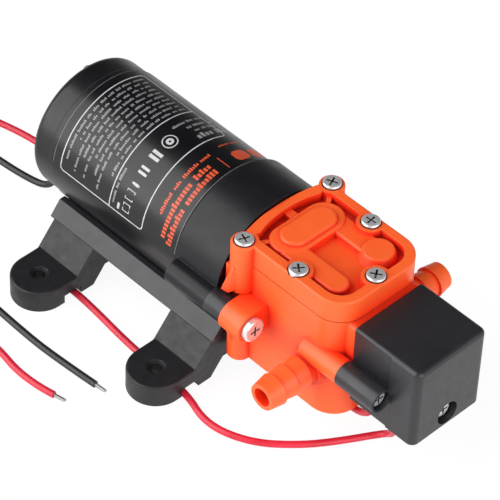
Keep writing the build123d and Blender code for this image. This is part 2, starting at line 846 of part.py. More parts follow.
with BuildPart() as upper_cover:
    with BuildSketch(Plane.XY.offset(upper_parting_z)):
        add(head_plan)
        with Locations(*ears):
            Circle(ear_radius)
    extrude(amount=cover_height)
    fillet(upper_cover.faces().sort_by(Axis.Z)[-1].edges(), radius=cover_edge_radius)
    with BuildSketch(Plane.XY.offset(moat_floor_z)):
        add(moat_plan)
        with Locations(*cover_screw_places):
            Circle(screw_boss_radius, mode=Mode.SUBTRACT)
    extrude(amount=moat_depth, mode=Mode.SUBTRACT)
    # Ribs from the raised valve chamber to the rear bosses, and a tab to the rear rim
    with BuildSketch(Plane.XY.offset(moat_floor_z)):
        for side in (1, -1):
            middle = ((dome_x + screw_a_x) / 2, side * (dome_ends + screw_a_y) / 2)
            lean = math.degrees(math.atan2(side * (screw_a_y - dome_ends), screw_a_x - dome_x))
            with Locations(middle):
                Rectangle(math.dist((dome_x, dome_ends), ears[0]), rib_width, rotation=lean)
        with Locations(((head_rear_mid_x + dome_x) / 2, tab_y)):
            Rectangle(dome_x - head_rear_mid_x - rim_width, tab_width)
    extrude(amount=axis_z + tab_offset - moat_floor_z)
    add(dome)
    add(plateau)
    add(near_channel)
    add(far_channel)
    add(far_dome.part)
    # Pocket for the valve plate, the two galleries over it and the two channels
    with BuildSketch(Plane.XY.offset(upper_parting_z)):
        add(pocket_plan)
        with Locations(*cover_screw_places):
            Circle(screw_boss_radius, mode=Mode.SUBTRACT)
    extrude(amount=plate_thickness, mode=Mode.SUBTRACT)
    with BuildSketch(Plane.XY.offset(plate_top_z)):
        with Locations((dome_x, 0)):
            SlotOverall(2 * (dome_half_length - gallery_wall),
                        2 * (dome_half_width - gallery_wall), rotation=quarter_turn)
            Rectangle(2 * dome_half_width, gallery_wall, mode=Mode.SUBTRACT)
    extrude(amount=gallery_height, mode=Mode.SUBTRACT)
    add(near_hollow, mode=Mode.SUBTRACT)
    add(far_hollow, mode=Mode.SUBTRACT)
    with BuildSketch(Plane.XY.offset(upper_parting_z)):
        with Locations(*cover_screw_places):
            Circle(cover_screw_radius + screw_clearance)
    extrude(amount=cover_height, mode=Mode.SUBTRACT)
    with BuildSketch(Plane.XY.offset(screw_seat_z)):
        with Locations(*cover_screw_places):
            Circle(screw_sink_radius)
    extrude(amount=cover_height, mode=Mode.SUBTRACT)

with BuildPart() as lower_cover:
    mirror(upper_cover.part, about=middle_plane)

# Pump body
with BuildPart() as pump_body:
    with BuildSketch(Plane.XY.offset(lower_parting_z)):
        add(head_plan)
        with Locations(*ears):
            Circle(ear_radius)
    extrude(amount=2 * parting_offset)
    # The ears leave room for the two spacers beside them
    with BuildSketch(Plane.XY.offset(axis_z - boss_gap_offset)):
        for side in (1, -1):
            with Locations((screw_a_x, side * (head_side_y + ear_radius))):
                Rectangle(4 * ear_radius, 2 * ear_radius, mode=Mode.ADD)
    extrude(amount=2 * boss_gap_offset, mode=Mode.SUBTRACT)
    with BuildSketch(across(housing_front_x)):
        Circle(collar_radius)
    extrude(amount=lug_rear_x - housing_front_x)
    # Thin gussets under the rear ears
    for side in (1, -1):
        for level in (1, -1):
            with BuildSketch(Plane(origin=(0, side * (head_side_y + ear_radius - fin_thickness),
                                           axis_z), x_dir=(1, 0, 0), z_dir=(0, -1, 0))):
                with BuildLine():
                    Polyline((screw_a_x - ear_radius, level * fin_top_offset),
                             (fin_rear_x, level * fin_low_offset),
                             (screw_a_x, level * fin_low_offset),
                             (screw_a_x, level * fin_top_offset), close=True)
                make_face()
            extrude(amount=fin_thickness / 2, both=True)
    # Lugs for the long flange screws
    with BuildSketch(across(lug_rear_x)):
        for side in (1, -1):
            with Locations((side * tube_offset, 0)):
                Circle(lug_radius)
            with Locations((side * (tube_offset + head_side_y - rim_width) / 2, 0)):
                Rectangle(tube_offset - head_side_y + rim_width, 2 * lug_radius)
    extrude(amount=lug_thickness)
    # Bosses and block for the switch box
    with BuildSketch(across(box_boss_start_x)):
        with Locations((box_boss_y, 0), (-box_boss_y, 0)):
            Circle(box_boss_radius)
    extrude(amount=box_rear_x - box_boss_start_x)
    with BuildSketch(across(switch_block_rear_x, 0, (block_top_z + block_bottom_z) / 2)):
        RectangleRounded(2 * block_half_width, block_top_z - block_bottom_z,
                         radius=box_edge_radius)
    extrude(amount=box_rear_x - switch_block_rear_x)
    # Hose barbs, one on each side
    for side in (1, -1):
        barb_start = Plane(origin=(port_x, 0, barb_z), x_dir=(0, side, 0), z_dir=(0, 0, side))
        collar_end_y = head_side_y + barb_collar_length
        first_ridge_y = barb_tip_y - barb_ridge_count * barb_ridge_pitch
        points = [(head_side_y - rim_width, 0), (head_side_y - rim_width, barb_collar_radius),
                  (collar_end_y, barb_collar_radius), (collar_end_y, barb_root_radius),
                  (first_ridge_y, barb_root_radius)]
        for number in range(barb_ridge_count):
            ridge_y = first_ridge_y + number * barb_ridge_pitch
            points.append((ridge_y, barb_ridge_radius))
            points.append((ridge_y + barb_ridge_pitch, barb_tip_radius))
        points.append((barb_tip_y, 0))
        with BuildSketch(barb_start):
            with BuildLine():
                Polyline(*points, close=True)
            make_face()
        revolve(axis=Axis((port_x, 0, barb_z), (0, 1, 0)), revolution_arc=full_turn)
    # Drive cavity, chambers and the seats of the diaphragms
    with BuildSketch(across(housing_front_x)):
        Circle(drive_bore)
    extrude(amount=drive_depth, mode=Mode.SUBTRACT)
    with BuildSketch(Plane.XY.offset(lower_parting_z)):
        with Locations((chamber_x, 0)):
            Circle(chamber_radius)
    extrude(amount=2 * parting_offset, mode=Mode.SUBTRACT)
    for parting_z, way in ((upper_parting_z, -1), (lower_parting_z, 1)):
        with BuildSketch(Plane.XY.offset(parting_z)):
            with Locations((chamber_x, 0)):
                Circle(bead_radius + seat_gap)
        extrude(amount=way * bead_height, mode=Mode.SUBTRACT)
        with BuildSketch(Plane.XY.offset(parting_z)):
            with Locations(*ports):
                Circle(seal_radius + seal_section + seal_groove_gap)
                Circle(seal_radius - seal_section - seal_groove_gap, mode=Mode.SUBTRACT)
        extrude(amount=way * 2 * seal_section, mode=Mode.SUBTRACT)
        with BuildSketch(Plane.XY.offset(parting_z)):
            with Locations(*cover_screw_places):
                Circle(cover_screw_radius)
        extrude(amount=way * (cover_screw_length + screw_seat_gap
                              - (screw_seat_z - upper_parting_z)), mode=Mode.SUBTRACT)
    with BuildSketch(Plane.XY.offset(lower_parting_z)):
        with Locations(*ports):
            Circle(port_radius)
    extrude(amount=2 * parting_offset, mode=Mode.SUBTRACT)
    for side in (1, -1):
        with BuildSketch(Plane(origin=(port_x, side * barb_tip_y, barb_z), x_dir=(1, 0, 0),
                               z_dir=(0, side, 0))):
            Circle(barb_bore)
        extrude(amount=port_y - barb_tip_y, mode=Mode.SUBTRACT)
    # Pressure hole and seat of the switch diaphragm, and the side and low screw holes
    with BuildSketch(across(box_rear_x, 0, sense_z)):
        Circle(sense_radius)
    extrude(amount=-sense_depth, mode=Mode.SUBTRACT)
    with BuildSketch(across(port_x, -sense_hole_y, sense_z)):
        Circle(sense_hole_radius)
    extrude(amount=box_rear_x - port_x - sense_depth, mode=Mode.SUBTRACT)
    box_screw_tip_x = box_screw_seat_x - box_screw_length
    with BuildSketch(across(box_screw_tip_x - screw_seat_gap)):
        with Locations((box_boss_y, 0), (-box_boss_y, 0)):
            Circle(box_screw_radius)
    extrude(amount=box_rear_x - box_screw_tip_x + screw_seat_gap, mode=Mode.SUBTRACT)
    low_screw_tip_x = low_screw_seat_x - low_screw_length
    with BuildSketch(across(low_screw_tip_x - screw_seat_gap, 0, low_screw_z)):
        Circle(box_screw_radius)
    extrude(amount=box_rear_x - low_screw_tip_x + screw_seat_gap, mode=Mode.SUBTRACT)
    with BuildSketch(across(lug_rear_x)):
        with Locations((tube_offset, 0), (-tube_offset, 0)):
            Circle(spacer_bore)
    extrude(amount=lug_thickness, mode=Mode.SUBTRACT)

# Sealing rings round the two ports, on both faces of the body
with BuildPart() as port_o_rings:
    for ring_z in (upper_parting_z - seal_section, lower_parting_z + seal_section):
        for place in ports:
            with Locations((place[0], place[1], ring_z)):
                Torus(seal_radius, seal_section)

# Valve plates: a hollow over each diaphragm, and seats for two valves
inlet = (valve_x, valve_y)
outlet = (valve_x, -valve_y)
hollow_top_z = upper_parting_z + chamber_depth
with BuildPart() as upper_valve_plate:
    with BuildSketch(Plane.XY.offset(upper_parting_z)):
        add(plate_plan)
        with Locations(*cover_screw_places):
            Circle(screw_boss_radius + plate_gap, mode=Mode.SUBTRACT)
    extrude(amount=plate_thickness)
    with BuildSketch(Plane.XY.offset(upper_parting_z)):
        with Locations((chamber_x, 0)):
            Circle(chamber_radius)
    extrude(amount=chamber_depth, mode=Mode.SUBTRACT)
    with BuildSketch(Plane.XY.offset(upper_parting_z)):
        for place in (inlet, outlet):
            with Locations(place):
                Circle(valve_stem_radius + valve_stem_gap)
                with PolarLocations(valve_port_circle, valve_port_count):
                    Circle(valve_port_radius)
        with Locations(*ports):
            Circle(port_radius)
    extrude(amount=plate_thickness, mode=Mode.SUBTRACT)

with BuildPart() as lower_valve_plate:
    mirror(upper_valve_plate.part, about=middle_plane)


def valve(place, seat_z, way):
    # A mushroom valve: the disc lies on its seat, the bulb keeps it in its hole
    web = plate_thickness - chamber_depth
    neck = web + valve_lift + seat_gap
    with BuildPart() as mushroom:
        with BuildSketch(Plane.XY.offset(seat_z)):
            with Locations(place):
                Circle(valve_radius)
        extrude(amount=way * valve_thickness)
        with BuildSketch(Plane.XY.offset(seat_z)):
            with Locations(place):
                Circle(valve_stem_radius)
        extrude(amount=-way * neck)
        with BuildSketch(Plane.XY.offset(seat_z - way * neck)):
            with Locations(place):
                Circle(valve_bulb_radius)
        extrude(amount=-way * valve_bulb_height)
    return mushroom.part


inlet_valve = valve(inlet, hollow_top_z, -1)
outlet_valve = valve(outlet, plate_top_z, 1)
with BuildPart() as upper_inlet_valve:
    add(inlet_valve)
with BuildPart() as upper_outlet_valve:
    add(outlet_valve)
with BuildPart() as lower_inlet_valve:
    mirror(inlet_valve, about=middle_plane)
with BuildPart() as lower_outlet_valve:
    mirror(outlet_valve, about=middle_plane)

# Eccentric drive on the motor shaft, drawn with the eccentric at its highest
crank_z = axis_z + stroke_half
web_top_z = crank_z + web_mid_offset


def bearing_part(x, centre_z, outer, bore, width, count, piece):
    # The outer race, inner race or balls of a ball bearing
    pitch = (outer + bore) / 2
    ball = ball_share * (outer - bore)
    if piece == "outer":
        return race(x, centre_z, outer - press_gap, pitch + ball / 2, width, pitch, ball)
    if piece == "inner":
        return race(x, centre_z, pitch - ball / 2, bore + press_gap, width, pitch, ball)
    return ball_ring(x, centre_z, pitch, ball, count)


crank_parts = {}
front_parts = {}
for piece in ("outer", "inner", "balls"):
    crank_parts[piece] = bearing_part(chamber_x, crank_z, eccentric_bearing_outer,
                                      eccentric_bearing_bore, eccentric_bearing_width,
                                      ball_count, piece)
    front_parts[piece] = bearing_part(bearing_x + bearing_width / 2, axis_z, bearing_outer,
                                      bearing_bore, bearing_width, front_ball_count, piece)
with BuildPart() as eccentric_bearing_outer_race:
    add(crank_parts["outer"])
with BuildPart() as eccentric_bearing_inner_race:
    add(crank_parts["inner"])
with BuildPart() as eccentric_bearing_balls:
    add(crank_parts["balls"])
with BuildPart() as front_bearing_outer_race:
    add(front_parts["outer"])
with BuildPart() as front_bearing_inner_race:
    add(front_parts["inner"])
with BuildPart() as front_bearing_balls:
    add(front_parts["balls"])

hub_flange_x = chamber_x - eccentric_bearing_width / 2 - hub_flange_length
grub_x = hub_flange_x - hub_core_length / 2
with BuildPart() as eccentric_hub:
    with BuildSketch(across(hub_flange_x, 0, crank_z)):
        Circle(hub_flange)
    extrude(amount=hub_flange_length)
    with BuildSketch(across(hub_flange_x, 0, crank_z)):
        Circle(eccentric_bearing_bore)
    extrude(amount=hub_flange_length + eccentric_bearing_width)
    with BuildSketch(across(hub_flange_x - hub_core_length)):
        Circle(hub_core_radius)
    extrude(amount=hub_core_length)
    # The counterweight lies opposite the eccentric
    with BuildSketch(across(hub_flange_x - hub_core_length)):
        Circle(counterweight_radius)
        with Locations((0, counterweight_radius)):
            Rectangle(2 * counterweight_radius, 2 * counterweight_radius, mode=Mode.SUBTRACT)
    extrude(amount=counterweight_length)
    with BuildSketch(across(hub_flange_x - hub_core_length)):
        Circle(shaft_radius + press_gap)
    extrude(amount=2 * chamber_x, mode=Mode.SUBTRACT)
    with BuildSketch(Plane(origin=(grub_x, 0, axis_z), x_dir=(1, 0, 0), z_dir=(0, 0, 1))):
        Circle(grub_radius)
    extrude(amount=2 * hub_core_radius, mode=Mode.SUBTRACT)

with BuildPart() as eccentric_set_screw:
    with BuildSketch(Plane.XY.offset(axis_z + shaft_radius + seat_gap)):
        with Locations((grub_x, 0)):
            Circle(grub_radius - press_gap)
    extrude(amount=grub_length)
    with BuildSketch(Plane.XY.offset(axis_z + shaft_radius + seat_gap + grub_length)):
        with Locations((grub_x, 0)):
            RegularPolygon(grub_radius / 2, 6)
    extrude(amount=-grub_length / 2, mode=Mode.SUBTRACT)

# Yoke: the ring round the eccentric bearing, with a post to each diaphragm
with BuildPart() as drive_yoke:
    with BuildSketch(across(chamber_x - yoke_width / 2, 0, crank_z)):
        Circle(yoke_radius)
    extrude(amount=yoke_width)
    for way in (1, -1):
        with BuildSketch(Plane.XY.offset(crank_z + way * yoke_post_start)):
            with Locations((chamber_x, 0)):
                Circle(yoke_post_radius)
        extrude(amount=way * (web_mid_offset - yoke_post_start))
    with BuildSketch(across(chamber_x - yoke_width / 2, 0, crank_z)):
        Circle(eccentric_bearing_outer)
    extrude(amount=yoke_width, mode=Mode.SUBTRACT)
    for way in (1, -1):
        with BuildSketch(Plane.XY.offset(crank_z + way * web_mid_offset)):
            with Locations((chamber_x, 0)):
                Circle(yoke_screw_radius)
        extrude(amount=-way * yoke_screw_grip, mode=Mode.SUBTRACT)


def diaphragm(web_z):
    # A diaphragm with its bead in the body and its middle at a given height
    hole = yoke_screw_radius + press_gap
    bead_low = upper_parting_z - bead_height
    with BuildPart() as skin:
        with BuildSketch(Plane(origin=(chamber_x, 0, 0), x_dir=(1, 0, 0), z_dir=(0, -1, 0))):
            with BuildLine():
                Polyline((hole, web_z), (clamp_disc_radius + seat_gap, web_z),
                         (chamber_radius - curved_gap / 2, bead_low), (bead_radius, bead_low),
                         (bead_radius, upper_parting_z), (bead_inner, upper_parting_z),
                         (bead_inner, bead_low + web_thickness),
                         (chamber_radius - curved_gap, bead_low + web_thickness),
                         (clamp_disc_radius + seat_gap, web_z + web_thickness),
                         (hole, web_z + web_thickness), close=True)
            make_face()
        revolve(axis=Axis((chamber_x, 0, 0), (0, 0, 1)), revolution_arc=full_turn)
    return skin.part


def clamp_disc(low_z):
    # The round washer that presses a diaphragm to the yoke, sunk for its screw
    with BuildPart() as washer:
        with BuildSketch(Plane.XY.offset(low_z)):
            with Locations((chamber_x, 0)):
                Circle(clamp_disc_radius)
        extrude(amount=clamp_disc_thickness)
        with Locations((chamber_x, 0, low_z)):
            Cone(yoke_screw_radius + press_gap, yoke_screw_head + press_gap,
                 clamp_disc_thickness, align=(Align.CENTER, Align.CENTER, Align.MIN),
                 mode=Mode.SUBTRACT)
    return washer.part


def yoke_screw(low_z):
    # A countersunk screw, flush with the washer
    top_z = low_z + clamp_disc_thickness
    with BuildPart() as screw:
        with Locations((chamber_x, 0, low_z)):
            Cone(yoke_screw_radius - press_gap, yoke_screw_head - press_gap,
                 clamp_disc_thickness, align=(Align.CENTER, Align.CENTER, Align.MIN))
        with BuildSketch(Plane.XY.offset(low_z)):
            with Locations((chamber_x, 0)):
                Circle(yoke_screw_radius - press_gap)
        extrude(amount=-(web_thickness + yoke_screw_grip - seat_gap))
        with BuildSketch(Plane.XY.offset(top_z)):
            with Locations((chamber_x, 0)):
                Rectangle(2 * cross_arm, cross_width)
                Rectangle(cross_width, 2 * cross_arm)
        extrude(amount=-cross_depth, mode=Mode.SUBTRACT)
    return screw.part


# At rest the upper diaphragm is pushed out and the lower one is drawn in
upper_web_z = web_top_z
lower_web_z = web_top_z - 2 * stroke_half
upper_skin = diaphragm(upper_web_z)
lower_skin = diaphragm(lower_web_z)
upper_washer = clamp_disc(upper_web_z + web_thickness)
lower_washer = clamp_disc(lower_web_z + web_thickness)
upper_yoke_screw = yoke_screw(upper_web_z + web_thickness)
lower_yoke_screw = yoke_screw(lower_web_z + web_thickness)
with BuildPart() as upper_diaphragm:
    add(upper_skin)
with BuildPart() as lower_diaphragm:
    mirror(lower_skin, about=middle_plane)
with BuildPart() as diaphragm_discs:
    add(upper_washer)
    mirror(lower_washer, about=middle_plane)
with BuildPart() as diaphragm_screws:
    add(upper_yoke_screw)
    mirror(lower_yoke_screw, about=middle_plane)

# Pressure switch box
box_middle_z = (box_top_z + box_bottom_z) / 2
with BuildPart() as switch_box:
    with BuildSketch(Plane.XY.offset(box_bottom_z)):
        with Locations(((box_rear_x + front_x) / 2, 0)):
            Rectangle(front_x - box_rear_x, 2 * (box_half_width - box_step))
        with Locations(((box_step_x + front_x) / 2, 0)):
            Rectangle(front_x - box_step_x, 2 * box_half_width)
    extrude(amount=box_top_z - box_bottom_z)
    fillet(switch_box.edges().filter_by(Axis.Z).group_by(Axis.X)[-1], radius=box_corner_radius)
    fillet(switch_box.faces().sort_by(Axis.X)[-1].edges().sort_by(Axis.Z)[-1],
           radius=box_edge_radius)
    with BuildSketch(across(box_rear_x)):
        with Locations((box_boss_y, 0), (-box_boss_y, 0)):
            Circle(box_boss_radius)
    extrude(amount=box_boss_length)
    with BuildSketch(across(box_rear_x, 0, box_middle_z)):
        Rectangle(2 * (box_half_width - box_step - box_wall),
                  box_top_z - box_bottom_z - 2 * box_wall)
    extrude(amount=front_x - box_rear_x - box_wall, mode=Mode.SUBTRACT)
    # Cup and post for the low screw
    with BuildSketch(across(low_screw_seat_x - box_wall, 0, low_screw_z)):
        Circle(low_screw_z - box_bottom_z)
    extrude(amount=front_x - box_wall - low_screw_seat_x + box_wall)
    with BuildSketch(across(box_rear_x, 0, low_screw_z)):
        Circle(low_post_radius)
    extrude(amount=low_screw_seat_x - box_rear_x)
    with BuildSketch(across(box_rear_x, 0, low_screw_z)):
        Circle(box_screw_radius + screw_clearance)
    extrude(amount=low_screw_seat_x - box_rear_x, mode=Mode.SUBTRACT)
    with BuildSketch(across(low_screw_seat_x, 0, low_screw_z)):
        Circle(low_sink_radius)
    extrude(amount=low_sink_depth, mode=Mode.SUBTRACT)
    with BuildSketch(across(box_rear_x)):
        with Locations((box_boss_y, 0), (-box_boss_y, 0)):
            Circle(box_screw_radius + screw_clearance)
    extrude(amount=box_boss_length, mode=Mode.SUBTRACT)
    with BuildSketch(across(box_screw_seat_x)):
        with Locations((box_boss_y, 0), (-box_boss_y, 0)):
            Circle(box_sink_radius)
    extrude(amount=box_screw_sink, mode=Mode.SUBTRACT)
    with BuildSketch(Plane.XY.offset(box_bottom_z)):
        with Locations(*box_exits):
            Circle(grommet_radius)
    extrude(amount=box_wall, mode=Mode.SUBTRACT)

# Switch works: diaphragm, carrier, plunger with its spring, and the small switch
skin_x = box_rear_x - switch_skin_thickness
with BuildPart() as switch_diaphragm:
    with BuildSketch(across(skin_x, 0, sense_z)):
        Circle(sense_radius - seat_gap)
    extrude(amount=switch_skin_thickness)
    with BuildSketch(across(box_rear_x - sense_depth, 0, sense_z)):
        Circle(sense_radius - seat_gap)
        Circle(sense_radius - switch_bead_width, mode=Mode.SUBTRACT)
    extrude(amount=sense_depth - switch_skin_thickness)

plate_front_x = box_rear_x + switch_plate_thickness
bonnet_front_x = plate_front_x + bonnet_length
with BuildPart() as switch_carrier:
    with BuildSketch(across(box_rear_x, 0, sense_z)):
        RectangleRounded(2 * carrier_half_width, 2 * carrier_half_height,
                         radius=box_edge_radius)
    extrude(amount=switch_plate_thickness)
    with BuildSketch(across(plate_front_x, 0, sense_z)):
        Circle(bonnet_radius)
    extrude(amount=bonnet_length)
    with BuildSketch(across(box_rear_x, 0, sense_z)):
        Circle(bonnet_radius - bonnet_wall)
    extrude(amount=switch_plate_thickness + bonnet_length - bonnet_wall, mode=Mode.SUBTRACT)
    with BuildSketch(across(box_rear_x, 0, sense_z)):
        Circle(plunger_radius + running_gap)
    extrude(amount=switch_plate_thickness + bonnet_length, mode=Mode.SUBTRACT)
    for side in (1, -1):
        with BuildSketch(across(plate_front_x, side * (micro_half_length + seat_gap
                                                       + carrier_arm_width / 2), sense_z)):
            Rectangle(carrier_arm_width, micro_height)
        extrude(amount=micro_x + micro_depth - plate_front_x)

with BuildPart() as switch_plunger:
    with BuildSketch(across(box_rear_x, 0, sense_z)):
        Circle(plunger_pad_radius)
    extrude(amount=plunger_pad_thickness)
    with BuildSketch(across(box_rear_x, 0, sense_z)):
        Circle(plunger_radius)
    extrude(amount=button_x - button_gap - box_rear_x)

spring_start_x = box_rear_x + plunger_pad_thickness + plunger_spring_wire + seat_gap
spring_end_x = bonnet_front_x - bonnet_wall - plunger_spring_wire - seat_gap
plunger_coil = coil_spring((spring_start_x, 0, sense_z), (1, 0, 0), plunger_spring_radius,
                           plunger_spring_wire, (spring_end_x - spring_start_x)
                           / plunger_spring_turns, plunger_spring_turns)
with BuildPart() as plunger_spring:
    add(plunger_coil)

with BuildPart() as microswitch_body:
    with BuildSketch(across(micro_x, 0, sense_z)):
        Rectangle(2 * micro_half_length, micro_height)
    extrude(amount=micro_depth)
    with BuildSketch(across(micro_x, 0, sense_z)):
        Circle(button_radius + running_gap)
    extrude(amount=button_depth + plunger_travel + seat_gap, mode=Mode.SUBTRACT)

with BuildPart() as microswitch_button:
    with BuildSketch(across(button_x, 0, sense_z)):
        Circle(button_radius)
    extrude(amount=button_height + button_depth)

with BuildPart() as switch_terminals:
    with BuildSketch(across(micro_x + micro_depth, 0, sense_z)):
        with Locations((spade_offset, 0), (-spade_offset, 0)):
            Rectangle(spade_width, spade_thickness)
    extrude(amount=spade_length)

# Rubber grommets where the wires leave the rear cap and the switch box
grommet_seats = [(across(rear_x, side * lead_hole_y, lead_hole_z), cap_wall)
                 for side in (1, -1)]
grommet_seats += [(Plane(origin=(place[0], place[1], box_bottom_z)), box_wall)
                  for place in box_exits]
with BuildPart() as lead_grommets:
    for seat, wall in grommet_seats:
        with BuildSketch(seat):
            Circle(grommet_radius)
        extrude(amount=wall + grommet_lip_length)
        with BuildSketch(seat.offset(wall)):
            Circle(grommet_radius + grommet_lip)
        extrude(amount=grommet_lip_length)
        with BuildSketch(seat):
            Circle(lead_radius)
        extrude(amount=wall + grommet_lip_length, mode=Mode.SUBTRACT)

# Spacers and screws
with BuildPart() as flange_spacers:
    with BuildSketch(across(housing_front_x)):
        with Locations((tube_offset, 0), (-tube_offset, 0)):
            Circle(tube_radius)
            Circle(spacer_bore, mode=Mode.SUBTRACT)
    extrude(amount=spacer_length)


def screw_set(seats, shank, length, head, height, edge):
    # The same pan head screw at several seats
    screws = [pan_screw(seat, shank, length, head, height, edge) for seat in seats]
    with BuildPart() as group:
        for screw in screws:
            add(screw)
    return group.part


cover_seats = [Plane(origin=(place[0], place[1], screw_seat_z), x_dir=(math.cos(turn),
               math.sin(turn), 0), z_dir=(0, 0, 1))
               for place, turn in zip(cover_screw_places, screw_turns)]
upper_screw_group = screw_set(cover_seats, cover_screw_radius - press_gap, cover_screw_length,
                              pan_radius, pan_height, pan_round)
with BuildPart() as cover_screws:
    add(upper_screw_group)
    mirror(upper_screw_group, about=middle_plane)
flange_screw_group = screw_set([across(lug_front_x, tube_offset), across(lug_front_x, -tube_offset)],
                               flange_screw_radius - press_gap, flange_screw_length,
                               flange_head_radius, flange_head_height, pan_round)
with BuildPart() as flange_screws:
    add(flange_screw_group)
side_screw_group = screw_set([across(box_screw_seat_x, box_boss_y),
                              across(box_screw_seat_x, -box_boss_y)],
                             box_screw_radius - press_gap, box_screw_length, box_head_radius,
                             box_head_height, pan_round)
low_screw = screw_set([across(low_screw_seat_x, 0, low_screw_z)], box_screw_radius - press_gap,
                      low_screw_length, box_head_radius, box_head_height, pan_round)
with BuildPart() as switch_box_screws:
    add(side_screw_group)
    add(low_screw)

# Leads: points chosen by hand, from inside the motor or the box to the free ends
black_route = [(-73.3, -6.0, 20.4), (-88.0, -6.0, 20.4), (-92.4, -6.6, 1.3),
               (-105.6, -10.0, 1.3), (-127.0, -13.0, 1.3), (-146.0, -24.0, 1.3),
               (-146.0, -47.0, 1.3), (-127.0, -58.6, 1.3), (-83.0, -58.4, 1.3),
               (-38.0, -56.7, 1.3), (-14.9, -56.2, 1.3)]
red_route = [(67.0, -8.2, 24.3), (67.0, -8.2, 10.5), (53.5, -12.8, 1.3), (36.0, -33.0, 1.3),
             (16.6, -36.9, 1.3), (-17.8, -37.2, 1.3), (-48.6, -34.2, 1.3),
             (-78.0, -33.2, 1.3), (-81.5, -16.5, 1.3), (-82.5, -1.5, 1.3), (-99.0, 3.6, 1.3),
             (-118.0, 2.4, 1.3), (-141.0, -3.5, 1.3), (-163.0, -18.0, 1.3),
             (-169.0, -42.0, 1.3), (-157.0, -63.0, 1.3), (-133.0, -71.5, 1.3),
             (-90.0, -70.9, 1.3), (-45.3, -69.8, 1.3), (-20.3, -68.8, 1.3)]
link_route = [(61.0, -8.2, 24.3), (61.0, -8.2, 10.5), (42.0, -5.8, 5.0), (22.0, -5.6, 1.3),
              (-10.0, -6.4, 1.3), (-44.0, -5.4, 1.3), (-72.0, 2.0, 1.3), (-90.0, 14.0, 1.3),
              (-101.0, 11.0, 8.4), (-98.0, 7.0, 18.8), (-85.6, 6.0, 20.4),
              (-73.3, 6.0, 20.4)]


def bend_radii(points):
    # Each bend takes just under half of its shorter run
    radii = []
    for before, here, after in zip(points, points[1:], points[2:]):
        come = Vector(*here) - Vector(*before)
        leave = Vector(*after) - Vector(*here)
        half = math.radians(come.get_angle(leave) / 2)
        radii.append(bend_share * min(come.length, leave.length) / math.tan(half))
    return radii


def lead(points, name):
    # One insulated wire swept along its route
    radii = bend_radii(points)
    with BuildLine() as route:
        FilletPolyline(*points, radius=radii)
    path = route.wire()
    with BuildPart() as tube:
        with BuildSketch(Plane(origin=path @ 0, z_dir=path % 0)):
            Circle(lead_radius)
        sweep(path=path)
    expected = math.pi * lead_radius ** 2 * path.length
    print(name, "length", round(path.length, 1), "volume share",
          round(tube.part.volume / expected, 4), "radii", [round(r, 1) for r in radii])
    return tube.part


black_tube = lead(black_route, "black lead")
red_tube = lead(red_route, "red lead")
link_tube = lead(link_route, "link wire")
with BuildPart() as black_lead:
    add(black_tube)
with BuildPart() as red_lead:
    add(red_tube)
with BuildPart() as link_wire:
    add(link_tube)

with BuildPart() as lead_tips:
    for route in (black_route, red_route):
        way = (Vector(*route[-1]) - Vector(*route[-2])).normalized()
        with BuildSketch(Plane(origin=route[-1], z_dir=way)):
            Circle(core_radius)
        extrude(amount=tip_length)

# Solder tabs inside the rear cap, where the two wires end
with BuildPart() as motor_terminals:
    with BuildSketch(across(spigot_front_x)):
        with Locations((lead_hole_y, -lead_hole_offset), (-lead_hole_y, -lead_hole_offset)):
            Rectangle(tab_size, tab_size)
    extrude(amount=-tab_thickness)

pieces = {
    "pump_body": pump_body, "upper_cover": upper_cover, "lower_cover": lower_cover,
    "upper_valve_plate": upper_valve_plate, "lower_valve_plate": lower_valve_plate,
    "port_o_rings": port_o_rings, "upper_diaphragm": upper_diaphragm,
    "lower_diaphragm": lower_diaphragm, "diaphragm_discs": diaphragm_discs,
    "diaphragm_screws": diaphragm_screws,
    "drive_yoke": drive_yoke, "eccentric_bearing_outer_race": eccentric_bearing_outer_race,
    "eccentric_bearing_inner_race": eccentric_bearing_inner_race,
    "eccentric_bearing_balls": eccentric_bearing_balls, "eccentric_hub": eccentric_hub,
    "eccentric_set_screw": eccentric_set_screw, "motor_shaft": motor_shaft,
    "armature_core": armature_core, "armature_windings": armature_windings,
    "commutator": commutator, "motor_can": motor_can, "rear_end_cap": rear_end_cap,
    "label_sleeve": label_sleeve, "magnets": magnets, "rear_bearing_bush": rear_bearing_bush,
    "front_bearing_outer_race": front_bearing_outer_race,
    "front_bearing_inner_race": front_bearing_inner_race,
    "front_bearing_balls": front_bearing_balls, "through_bolts": through_bolts,
    "brush_plate": brush_plate, "brush_tubes": brush_tubes, "brushes": brushes,
    "brush_springs": brush_springs, "motor_terminals": motor_terminals,
    "lead_grommets": lead_grommets, "front_housing": front_housing,
    "flange_spacers": flange_spacers, "flange_screws": flange_screws, "base_rail": base_rail,
    "rail_screws": rail_screws, "front_foot_bar": front_foot_bar,
    "rear_foot_bar": rear_foot_bar, "cover_screws": cover_screws,
    "upper_inlet_valve": upper_inlet_valve,
    "upper_outlet_valve": upper_outlet_valve, "lower_inlet_valve": lower_inlet_valve,
    "lower_outlet_valve": lower_outlet_valve, "switch_box": switch_box,
    "switch_carrier": switch_carrier, "switch_diaphragm": switch_diaphragm,
    "switch_plunger": switch_plunger, "plunger_spring": plunger_spring,
    "microswitch_body": microswitch_body, "microswitch_button": microswitch_button,
    "switch_terminals": switch_terminals, "switch_box_screws": switch_box_screws,
    "black_lead": black_lead, "red_lead": red_lead,
    "link_wire": link_wire, "lead_tips": lead_tips,
}
for node, piece in pieces.items():
    piece.part.label = node
    export_step(piece.part, f"parts/{node}.step")
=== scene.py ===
# %% [markdown]
# # A caravan water pump, dressed for its picture
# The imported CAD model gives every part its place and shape. This lesson
# adds what a solid can't carry: wires that lie like wires, print on the
# motor's label, and a finish for each material. All lengths are in metres.

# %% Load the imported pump
import json
import math
import random
import bmesh
import bpy
from mathutils import Matrix, Vector


